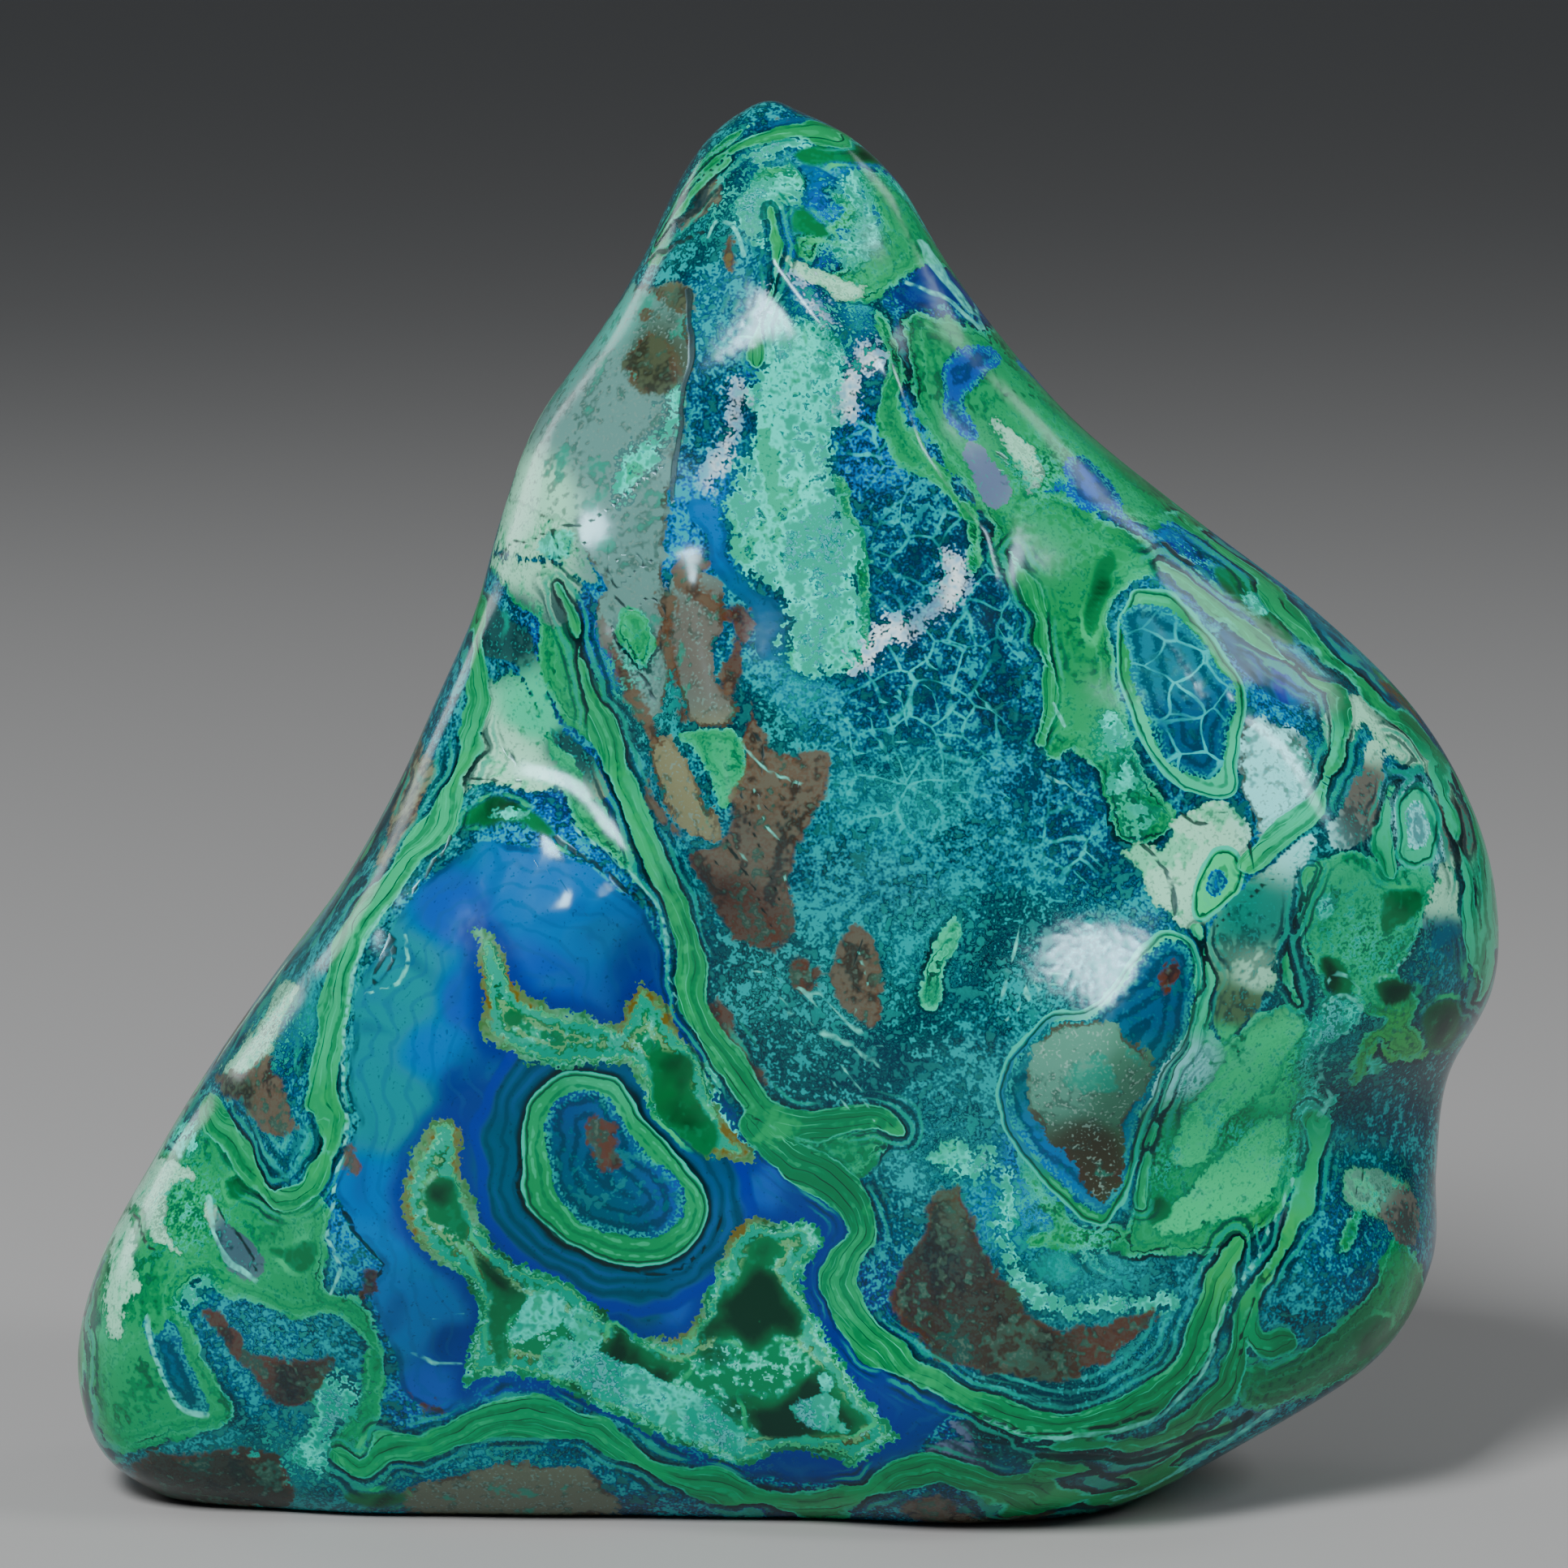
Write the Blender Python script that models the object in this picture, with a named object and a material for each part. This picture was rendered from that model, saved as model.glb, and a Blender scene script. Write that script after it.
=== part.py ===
"""A polished freeform of azurite, malachite and chrysocolla: one natural stone, ground and polished all round.

Millimetres in the tables, metres in the scene. +Z is up and the stone's broad face looks along -Y.
The origin is the middle of the bounding box on the surface that the stone stands on.
The form is a loft of level sections down the stone. Each section is a soft rectangle with its own left, right,
front and back reach. Ridges, swells and hollows are then raised or sunk along paths on the two broad faces.
"""

import math

import bmesh
import bpy
import numpy as np

MM = 0.001
AROUND = 84  # faces round each section
DOWN = 56  # rings from the peak to the middle of the base
PEAK_RINGS = 0.55  # below 1, rings crowd towards the peak and the base

# Height, left, right, front and back reach of each section, from the peak to the middle of the sawn base.
SECTIONS = np.array([
    (119.2, -1.5, -1.5, 0.0, 0.0),
    (118.3, -3.9, 0.9, 2.4, 2.6),
    (116.0, -6.8, 5.4, 4.6, 5.0),
    (112.0, -9.5, 9.5, 7.2, 7.8),
    (106.0, -12.3, 13.1, 10.0, 10.5),
    (100.0, -15.8, 17.4, 12.6, 13.0),
    (92.0, -21.4, 24.4, 15.4, 15.5),
    (84.0, -24.4, 34.2, 18.0, 17.8),
    (76.0, -26.7, 44.7, 20.2, 19.8),
    (68.0, -30.2, 53.0, 21.8, 21.6),
    (60.0, -33.9, 58.0, 22.8, 23.0),
    (52.0, -38.5, 60.4, 23.6, 24.0),
    (44.0, -44.4, 60.3, 24.0, 24.6),
    (36.0, -50.0, 56.6, 24.0, 24.8),
    (28.0, -54.9, 55.7, 23.4, 24.6),
    (20.0, -59.2, 55.4, 22.2, 24.0),
    (12.0, -61.2, 50.9, 20.2, 22.8),
    (5.0, -60.0, 39.6, 17.6, 20.6),
    (1.4, -56.6, 32.3, 15.0, 18.4),
    (0.0, -52.4, 27.8, 12.6, 16.0),
    (0.0, -37.0, 18.0, 8.6, 11.0),
    (0.0, -18.0, 7.0, 4.0, 5.0),
    (0.0, -4.0, -4.0, 0.0, 0.0),
])
SQUARE_LEFT = 3.0  # 2 is an ellipse, and more is a fuller, tighter edge
SQUARE_RIGHT = 2.4
RIM = 0.45  # share of the reach over which relief fades out towards the edge

# Relief on each broad face: rise and width across, then the path that it follows, as (across, up).
FRONT_RELIEF = [
    # swells and the troughs between them
    (7.5, 19.0, [(23, 10)]),
    (3.6, 12.0, [(26, 35)]),
    (3.0, 13.0, [(-30, 26), (-24, 42)]),
    (2.0, 11.0, [(-52, 14)]),
    (2.6, 13.0, [(50, 50)]),
    (2.4, 9.0, [(48, 20)]),
    (3.0, 13.0, [(30, 66), (40, 62)]),
    (-2.6, 8.0, [(-16, 62), (-9, 46), (-3, 33), (4, 22)]),
    (-2.4, 7.0, [(60, 35), (46, 33)]),
    (-2.2, 8.0, [(-20, 70), (-26, 64)]),
    (-2.0, 6.0, [(-48, 30), (-42, 8)]),
    (-1.8, 8.0, [(20, 66), (26, 54)]),
    # ridges
    (1.6, 6.0, [(-1, 107), (3, 101), (9, 96), (13, 88), (17, 81)]),
    (1.0, 2.0, [(-1, 106.5), (3.2, 101.5), (8, 99.5), (9.3, 95), (10.5, 91.5), (13, 88), (16, 84.5), (16.6, 79)]),
    (1.0, 2.6, [(-20, 90), (-19.5, 86), (-17, 80)]),
    (1.1, 2.0, [(-8.5, 80), (-8.7, 76), (-8, 71), (-6, 63)]),
    (1.0, 2.2, [(-15.5, 75), (-14, 71.5), (-11.5, 67), (-9, 63), (-6.3, 57)]),
    (1.2, 2.4, [(-27, 75), (-31.5, 65), (-35, 55), (-41, 46), (-46.5, 38.5)]),
    (1.3, 2.4, [(-37, 50.5), (-31, 57), (-28, 60.6), (-24.5, 61.4), (-21, 59.6), (-17, 55)]),
    (-1.8, 2.0, [(-33, 51.6), (-30, 56), (-27, 58.4), (-23.5, 58.6), (-20.5, 57)]),
    (1.8, 3.0, [(-33, 48), (-28, 52.4), (-23.5, 53.6), (-18, 52)]),
    (2.4, 5.0, [(30, 81), (35, 75), (41, 69), (47, 62)]),
    (2.0, 5.5, [(33, 52), (28, 46), (24, 41)]),
]
BACK_RELIEF = [
    (3.2, 20.0, [(24, 30)]),
    (2.4, 16.0, [(-34, 22)]),
    (2.0, 12.0, [(34, 62)]),
    (-3.0, 11.0, [(-8, 66), (2, 44), (-6, 24)]),
    (-2.0, 9.0, [(50, 40), (30, 46)]),
    (1.8, 7.0, [(-2, 112), (6, 90), (20, 72)]),
    (1.6, 5.0, [(-18, 88), (-24, 66), (-36, 46)]),
    (1.4, 4.0, [(-10, 12), (10, 22), (34, 14)]),
]
WANDER = 0.35  # height of the hand-ground unevenness
WANDER_SPAN = 17.0  # distance from one low spot to the next


def section_at(station):
    """Each section's five measures at these stations, on a smooth curve through the table."""
    mirrored = SECTIONS[1] * (1, -1, -1, -1, -1)
    mirrored[1:3] += 2 * SECTIONS[0, 1:3]
    table = np.vstack([mirrored, SECTIONS, SECTIONS[-1] * 2 - SECTIONS[-2]])
    index = np.clip(station.astype(int), 0, len(SECTIONS) - 2)
    s = (station - index)[:, None]
    before, start, end, after = (table[index + k] for k in range(4))
    return start + 0.5 * s * (
        end - before + s * (2 * before - 5 * start + 4 * end - after + s * (3 * (start - end) + after - before))
    )


def distance_to_path(across, up, path):
    """Distance of each point of a face from a path on it."""
    point = np.stack([across, up], 1)
    nearest = np.full(len(point), np.inf)
    corners = np.array(path if len(path) > 1 else path * 2, float)
    for start, end in zip(corners[:-1], corners[1:]):
        run = end - start
        share = np.clip((point - start) @ run / max(run @ run, 1e-9), 0, 1)
        nearest = np.minimum(nearest, np.linalg.norm(point - start - share[:, None] * run, axis=1))
    return nearest


def relief(across, up, features):
    """Height of the ridges, swells and hollows of one face."""
    return sum(rise * np.exp(-((distance_to_path(across, up, path) / width) ** 2)) for rise, width, path in features)


def wander(across, deep, up):
    """The slow unevenness of a stone that was ground by hand."""
    a, d, u = (2 * math.pi / WANDER_SPAN * c for c in (across, deep, up))
    return WANDER * (np.sin(a + 1.7 * np.sin(0.6 * u)) + np.sin(1.1 * u + 0.8 * d) + np.sin(0.9 * d - 0.7 * a)) / 1.5


def stone_surface(station, turn):
    """Points of the stone, in millimetres: station counts sections down from the peak, and turn goes round."""
    up, left, right, front, back = section_at(station).T
    up = np.maximum(up, 0)
    square = np.where(np.cos(turn) < 0, SQUARE_LEFT, SQUARE_RIGHT)
    reach = (np.abs(np.cos(turn)) ** square + np.abs(np.sin(turn)) ** square) ** (-1 / square)
    side, depth = reach * np.cos(turn), reach * np.sin(turn)
    across = (left + right) / 2 + (right - left) / 2 * side
    deep = np.where(depth < 0, front, back) * depth
    inward = np.clip(np.abs(depth) / RIM, 0, 1)
    inward = inward * inward * (3 - 2 * inward)
    raised = np.where(depth < 0, -relief(across, up, FRONT_RELIEF), relief(across, up, BACK_RELIEF))
    deep = deep + inward * (raised + wander(across, deep, up))
    return np.stack([across, deep, up], 1)


def station_of(ring):
    """Rings crowd towards the peak, where the stone is small."""
    share = ring / DOWN
    return (len(SECTIONS) - 1) * (PEAK_RINGS * share + (1 - PEAK_RINGS) * share ** 1.4)


def stone():
    """A UV sphere whose rings become the stone's sections."""
    shape = bmesh.new()
    bmesh.ops.create_uvsphere(shape, u_segments=AROUND, v_segments=DOWN, radius=1)
    ball = np.array([vertex.co for vertex in shape.verts])
    ring = np.round(np.arccos(np.clip(ball[:, 2], -1, 1)) / math.pi * DOWN)
    points = stone_surface(station_of(ring), np.arctan2(ball[:, 1], ball[:, 0]))
    points[:, :2] -= (points[:, :2].min(0) + points[:, :2].max(0)) / 2
    for vertex, point in zip(shape.verts, points):
        vertex.co = point * MM
    bmesh.ops.recalc_face_normals(shape, faces=shape.faces)
    mesh = bpy.data.meshes.new("stone")
    shape.to_mesh(mesh)
    shape.free()
    mesh.shade_smooth()
    return bpy.data.objects.new("stone", mesh)


def polished_mineral():
    material = bpy.data.materials.new("polished azurite malachite")
    material.use_nodes = True
    surface = material.node_tree.nodes["Principled BSDF"]
    surface.inputs["Base Color"].default_value = (0.02, 0.28, 0.24, 1)
    surface.inputs["Roughness"].default_value = 0.16
    surface.inputs["Metallic"].default_value = 0.0
    return material


def main():
    for old in list(bpy.data.objects):
        bpy.data.objects.remove(old)
    collection = bpy.data.collections.new("azurite malachite freeform")
    bpy.context.scene.collection.children.link(collection)
    body = stone()
    body.data.materials.append(polished_mineral())
    collection.objects.link(body)


main()
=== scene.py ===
"""A polished freeform of azurite, malachite and chrysocolla, dressed for rendering.

The stone is one piece. Its form is a loft of level sections with ridges, swells and hollows raised on it.
Its markings are outlines drawn on the broad front face. They run back through the stone and turn as they go,
so the sides and the back are marked too. The mesh stores how far each vertex is from every kind of marking,
and the material lays the minerals over one another by those distances. Tables are in millimetres.
"""

import math

import bmesh
import bpy
import numpy as np
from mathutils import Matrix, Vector, noise


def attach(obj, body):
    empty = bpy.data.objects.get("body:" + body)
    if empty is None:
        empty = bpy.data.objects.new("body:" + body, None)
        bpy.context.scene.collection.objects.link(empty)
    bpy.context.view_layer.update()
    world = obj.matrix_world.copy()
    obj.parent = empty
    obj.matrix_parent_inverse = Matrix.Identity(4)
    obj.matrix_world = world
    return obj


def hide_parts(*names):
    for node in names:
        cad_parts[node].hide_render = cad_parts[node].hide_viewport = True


bl_info = {
    "name": "Azurite Malachite Freeform",
    "version": (1, 0, 0),
    "blender": (4, 5, 0),
    "location": "3D View > Sidebar > Freeform",
    "description": "Builds a polished, banded freeform stone and a plain studio for it",
    "category": "Add Mesh",
}

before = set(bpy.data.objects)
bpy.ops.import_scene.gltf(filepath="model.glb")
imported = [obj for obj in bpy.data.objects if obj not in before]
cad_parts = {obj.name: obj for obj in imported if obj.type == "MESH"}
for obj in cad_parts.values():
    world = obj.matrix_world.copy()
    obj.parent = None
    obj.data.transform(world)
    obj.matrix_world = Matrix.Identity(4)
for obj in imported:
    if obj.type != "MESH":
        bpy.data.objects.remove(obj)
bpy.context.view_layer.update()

MM = 0.001
MIDDLE = np.array([-0.25, -0.88])  # across and deep, from the tables' origin to the middle of the stone

# ---------------------------------------------------------------- form

# Height, left, right, front and back reach of each section, from the peak to the middle of the sawn base.
SECTIONS = np.array([
    (119.2, -1.5, -1.5, 0.0, 0.0),
    (118.3, -3.9, 0.9, 2.4, 2.6),
    (116.0, -6.8, 5.4, 4.6, 5.0),
    (112.0, -9.5, 9.5, 7.2, 7.8),
    (106.0, -12.3, 13.1, 10.0, 10.5),
    (100.0, -15.8, 17.4, 12.6, 13.0),
    (92.0, -21.4, 24.4, 15.4, 15.5),
    (84.0, -24.4, 34.2, 18.0, 17.8),
    (76.0, -26.7, 44.7, 20.2, 19.8),
    (68.0, -30.2, 53.0, 21.8, 21.6),
    (60.0, -33.9, 58.0, 22.8, 23.0),
    (52.0, -38.5, 60.4, 23.6, 24.0),
    (44.0, -44.4, 60.3, 24.0, 24.6),
    (36.0, -50.0, 56.6, 24.0, 24.8),
    (28.0, -54.9, 55.7, 23.4, 24.6),
    (20.0, -59.2, 55.4, 22.2, 24.0),
    (12.0, -61.2, 50.9, 20.2, 22.8),
    (5.0, -60.0, 39.6, 17.6, 20.6),
    (1.4, -56.6, 32.3, 15.0, 18.4),
    (0.0, -52.4, 27.8, 12.6, 16.0),
    (0.0, -37.0, 18.0, 8.6, 11.0),
    (0.0, -18.0, 7.0, 4.0, 5.0),
    (0.0, -4.0, -4.0, 0.0, 0.0),
])
FOOT = 19.0  # the section where the base begins
WAIST = 12.0  # the section whose ring shares out the columns of faces
SQUARE_LEFT = 3.0  # how square the sections are: 2 is an ellipse
SQUARE_RIGHT = 2.4
RIM = 0.45  # relief fades out over this share of the depth, towards the edge between front and back
TRIAL_STEPS = 2001  # places tried along a ring or a column when its faces are shared out
BACK_SHARE = 0.55  # how close the columns stand on the back, against the front
BASE_SHARE = 0.12  # how close the rings lie under the base, against the sides
LEFT_WEIGHT = (0.7, 1.0, 1.0)  # how far the left edge's run counts when the rings are shared out
FRONT_WEIGHT = 0.7  # and the front's
# Ridges and swells, or hollows where the height is below 0: height, width and path, as (across, up).
FRONT_RELIEF = [
    (7.5, 19.0, [(23, 10)]),
    (4.2, 11.0, [(28, 43)]),
    (3.2, 9.0, [(-32, 26), (-29, 48), (-22, 49)]),
    (2.0, 11.0, [(-52, 14)]),
    (2.6, 13.0, [(50, 50)]),
    (2.4, 9.0, [(48, 20)]),
    (3.0, 13.0, [(30, 66), (40, 62)]),
    (-2.6, 8.0, [(-16, 62), (-9, 46), (-3, 33), (4, 22)]),
    (-2.4, 7.0, [(60, 35), (46, 33)]),
    (-2.2, 8.0, [(-20, 70), (-26, 64)]),
    (-2.0, 6.0, [(-48, 30), (-42, 8)]),
    (-1.2, 8.0, [(20, 66), (23, 58)]),
    (1.3, 5.0, [(-1, 107), (3, 101), (9, 96), (13, 88), (17, 81)]),
    (1.0, 1.5, [(-1, 106.5), (3.2, 101.5), (8, 99.5), (9.3, 95), (10.5, 91.5), (13, 88), (16, 84.5),
                (16.6, 79)]),
    (1.0, 2.6, [(-20, 90), (-19.5, 86), (-17, 80)]),
    (1.3, 2.4, [(-7.8, 80), (-7.6, 76), (-6.8, 71), (-4.8, 63)]),
    (2.0, 8.0, [(-4, 61)]),
    (1.0, 2.2, [(-15.5, 75), (-14, 71.5), (-11.5, 67), (-9, 63), (-6.3, 57)]),
    (1.2, 2.4, [(-27, 75), (-31.5, 65), (-35, 55), (-41, 46), (-46.5, 38.5)]),
    (2.2, 3.8, [(-38, 48.5), (-33, 54), (-29, 58), (-25, 60), (-21, 58.6), (-17, 54.6)]),
    (-1.3, 2.4, [(-33, 51.6), (-30, 56), (-27, 58.4), (-23.5, 58.6), (-20.5, 57)]),
    (1.0, 2.0, [(30, 80), (32.4, 77), (36, 72)]),
    (2.0, 5.6, [(36.8, 69.6), (40.6, 64.8), (44.6, 60)]),
    (1.6, 5.5, [(33, 52), (28, 46), (24, 41)]),
    (1.6, 8.0, [(-2, 99), (4, 98)]),
]
BACK_RELIEF = [
    (3.2, 20.0, [(24, 30)]),
    (2.4, 16.0, [(-34, 22)]),
    (2.0, 12.0, [(34, 62)]),
    (-3.0, 11.0, [(-8, 66), (2, 44), (-6, 24)]),
    (-2.0, 9.0, [(50, 40), (30, 46)]),
    (1.8, 7.0, [(-2, 112), (6, 90), (20, 72)]),
    (1.6, 5.0, [(-18, 88), (-24, 66), (-36, 46)]),
    (1.4, 4.0, [(-10, 12), (10, 22), (34, 14)]),
]
WANDER = 0.22  # reach of the slow unevenness
WANDER_SPAN = 17.0  # and its length


def smooth_between(before, start, end, after, share):
    """A place between start and end, on a smooth curve through all four."""
    bend = 2 * before - 5 * start + 4 * end - after + share * (3 * (start - end) + after - before)
    return start + 0.5 * share * (end - before + share * bend)


def section_at(station):
    """Each section's five measures at these stations, on a smooth curve through the table."""
    mirrored = SECTIONS[1] * (1, -1, -1, -1, -1)
    mirrored[1:3] += 2 * SECTIONS[0, 1:3]
    table = np.vstack([mirrored, SECTIONS, SECTIONS[-1] * 2 - SECTIONS[-2]])
    index = np.clip(station.astype(int), 0, len(SECTIONS) - 2)
    return smooth_between(*(table[index + k] for k in range(4)), (station - index)[:, None])


def along_runs(points, curve):
    """For each straight run of a curve: its ends, and each point's offset from its start and gap from it."""
    for start, end in zip(curve[:-1], curve[1:]):
        run = end - start
        offset = points - start
        share = np.clip(offset @ run / max(run @ run, 1e-9), 0, 1)
        yield start, end, offset, offset - share[:, None] * run


def distance_to_path(across, up, path):
    """Distance of each point of a face from a path on it."""
    points = np.stack([across, up], 1)
    nearest = np.full(len(points), np.inf)
    corners = np.array(path if len(path) > 1 else path * 2, float)
    for _, _, _, gap in along_runs(points, corners):
        nearest = np.minimum(nearest, np.linalg.norm(gap, axis=1))
    return nearest


def relief(across, up, features):
    """Height of the ridges, swells and hollows of one face."""
    total = np.zeros(len(across))
    for rise, width, path in features:
        total += rise * np.exp(-((distance_to_path(across, up, path) / width) ** 2))
    return total


def wander(across, deep, up):
    """The slow unevenness of a stone that was ground by hand."""
    a, d, u = (2 * math.pi / WANDER_SPAN * c for c in (across, deep, up))
    waves = np.sin(a + 1.7 * np.sin(0.6 * u)) + np.sin(1.1 * u + 0.8 * d) + np.sin(0.9 * d - 0.7 * a)
    return WANDER * waves / 1.5


def stone_surface(station, turn):
    """Points of the stone: station counts sections down from the peak, and turn goes round."""
    up, left, right, front, back = section_at(station).T
    up = np.maximum(up, 0)
    square = np.where(np.cos(turn) < 0, SQUARE_LEFT, SQUARE_RIGHT)
    reach = (np.abs(np.cos(turn)) ** square + np.abs(np.sin(turn)) ** square) ** (-1 / square)
    side, depth = reach * np.cos(turn), reach * np.sin(turn)
    across = (left + right) / 2 + (right - left) / 2 * side
    deep = np.where(depth < 0, front, back) * depth
    inward = np.clip(np.abs(depth) / RIM, 0, 1)
    inward = inward * inward * (3 - 2 * inward)
    raised = np.where(depth < 0, -relief(across, up, FRONT_RELIEF), relief(across, up, BACK_RELIEF))
    deep = deep + inward * (raised + wander(across, deep, up))
    return np.stack([across, deep, up], 1)


def even_steps(points, weight, count, closed):
    """Places along a row of points that share out its weighted length evenly."""
    length = np.linalg.norm(np.diff(points, axis=0), axis=1) * weight
    total = np.concatenate([[0], np.cumsum(length)])
    wanted = np.linspace(0, total[-1], count + 1)[: count if closed else None]
    return np.interp(wanted, total, np.linspace(0, 1, len(points)))


def column_turns(around):
    """How far round each column of faces stands, close together on the front face."""
    trial = np.linspace(-math.pi, math.pi, TRIAL_STEPS)
    ring = stone_surface(np.full(TRIAL_STEPS, WAIST), trial)
    weight = np.where(trial[:-1] < 0, 1.0, BACK_SHARE)
    return even_steps(ring, weight, around, True) * 2 * math.pi - math.pi


def ring_stations(down):
    """How many sections down each ring of faces lies, close together above the base."""
    trial = np.linspace(0, len(SECTIONS) - 1, TRIAL_STEPS)
    left = stone_surface(trial, np.full(TRIAL_STEPS, math.pi))
    front = stone_surface(trial, np.full(TRIAL_STEPS, -math.pi / 2))
    weight = np.where(trial[:-1] < FOOT, 1.0, BASE_SHARE)
    both = np.hstack([left * LEFT_WEIGHT, front * FRONT_WEIGHT])
    return even_steps(both, weight, down, False) * (len(SECTIONS) - 1)


def stone_mesh(around, down):
    """A UV sphere whose rings become the stone's sections, and its points in the tables' millimetres."""
    turns = column_turns(around)
    stations = ring_stations(down)
    shape = bmesh.new()
    bmesh.ops.create_uvsphere(shape, u_segments=around, v_segments=down, radius=1)
    ball = np.array([vertex.co for vertex in shape.verts])
    ring = np.round(np.arccos(np.clip(ball[:, 2], -1, 1)) / math.pi * down).astype(int)
    turned = np.arctan2(ball[:, 1], ball[:, 0]) / (2 * math.pi)
    column = np.round(turned * around + around / 2).astype(int) % around
    points = stone_surface(stations[ring], turns[column])
    for vertex, point in zip(shape.verts, points - (*MIDDLE, 0)):
        vertex.co = point * MM
    bmesh.ops.recalc_face_normals(shape, faces=shape.faces)
    mesh = bpy.data.meshes.new("stone_polished")
    shape.to_mesh(mesh)
    shape.free()
    mesh.shade_smooth()
    return mesh, points


# ---------------------------------------------------------------- markings

EYE = np.array([-0.4, -594.16, 144.5])  # where the front face and its outlines are seen from
TWIST = 2.6  # degrees that the markings turn for each millimetre into the back
TURN_START = -6.0  # depth at which they begin to turn
TURN_EASE = 8.0  # depth over which the turning sets in
TURN_CENTRE = np.array([4.0, 52.0])  # what they turn round
FAR = 7.0  # distances are kept up to this
CURVE_STEPS = 6  # steps that a smooth curve takes between two corners
SIDE_BLEND = 0.8  # how widely the sides of neighbouring paths blend, squared
TINT_HEART = 0.15  # how flat each tint is near its own place
TINT_FALL = 3  # and how fast it gives way to the next
CRAZE_BEND = 0.7  # how far the crazing's cells are pushed out of true
CRAZE_BEND_SPAN = 2.4  # and over what length
NOISE_SEED = 7  # keeps the noise the same on every run
# Slow wavy shifts of the markings: reach, span and seed.
DEEP_SWIRL = (1.0, 26.0, 3.0)  # for each millimetre of depth, up to DEEPEST
DEEPEST = 12
WIDE_SWIRL = (0.55, 4.2, 11.0)
TIGHT_SWIRL = (0.22, 1.6, 29.0)
CLOUD_SPREAD = 0.1  # standard deviation of every cloud
CLOUD_FALL = 1.8  # how much weaker each octave of a cloud is than the last
WARP_SCALE = 0.8
# Clouds in the rock: how each axis is stretched, then span, octaves, seed and warp.
CLOUDS = {
    "broad": ((1.0, 1.0, 1.0), 7.0, 2, 5.0, 0.0),
    "middling": ((1.0, 1.0, 1.0), 2.6, 2, 17.0, 0.0),
    "marble": ((1.0, 1.0, 1.0), 9.0, 3, 41.0, 1.6),
    "streaky": ((1.0, 1.0, 0.28), 2.2, 2, 53.0, 0.4),
}

# Closed outlines on the front face, as (across, up), by mineral.
GREY = [  # celadon and umber grey; on the ridge near (-8, 73) partly a painted sheen
    [(-16.4, 76.8), (-13, 77.8), (-10.4, 77.6), (-9.8, 73), (-10, 69.8), (-11, 67.4), (-12.4, 66.6),
     (-13.6, 68.6), (-14.8, 71.4), (-15.8, 74)],
    [(-13, 103.5), (-8.2, 103.2), (-8, 100), (-8.4, 96), (-9, 92.5), (-9.8, 89), (-10.2, 85), (-10.6, 80),
     (-11, 77.4), (-14.5, 76.5), (-16, 79), (-18, 81), (-21, 83.8), (-24.6, 85), (-25, 89), (-22.5, 94),
     (-19.5, 98.5), (-16, 102)],
    [(-11.8, 64), (-10.6, 65.4), (-9, 63.5), (-7.5, 61), (-6.4, 58.5), (-6, 56.2), (-8, 56.8), (-10.2, 58.6),
     (-11.6, 61.5)],
    # on the ridge near (-8, 73): a greyed strip, partly a painted sheen
    [(-9.8, 79), (-6.2, 78.5), (-5.8, 75.5), (-6.6, 72), (-6.2, 69.4), (-4.2, 67.8), (-5.2, 65.8), (-8, 66.3),
     (-9.6, 69.5), (-10.2, 74)],
    [(20.3, 36), (21.5, 38.5), (23.5, 40.2), (27.5, 40.3), (29, 39), (31, 37.8), (31.5, 36), (30.5, 34),
     (29.5, 32.5), (29, 30.5), (28.8, 28), (27.8, 25.3), (26.5, 25.3), (25, 27.5), (22.5, 30), (21.3, 31.5),
     (20.8, 33.5)],
    [(-33, -1), (-30, 0.1), (-27, 0.7), (-24, 1.5), (-21, 1.3), (-17.5, 1), (-16, -0.4), (-14.6, -2.4),
     (-18, -3.4), (-26, -3.4), (-33, -3)],
    [(38.5, 66), (41.5, 66.2), (44, 65), (45.3, 62), (44, 59), (42, 57), (40.3, 56.3), (39.6, 58.5),
     (38.8, 61)],
]
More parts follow.
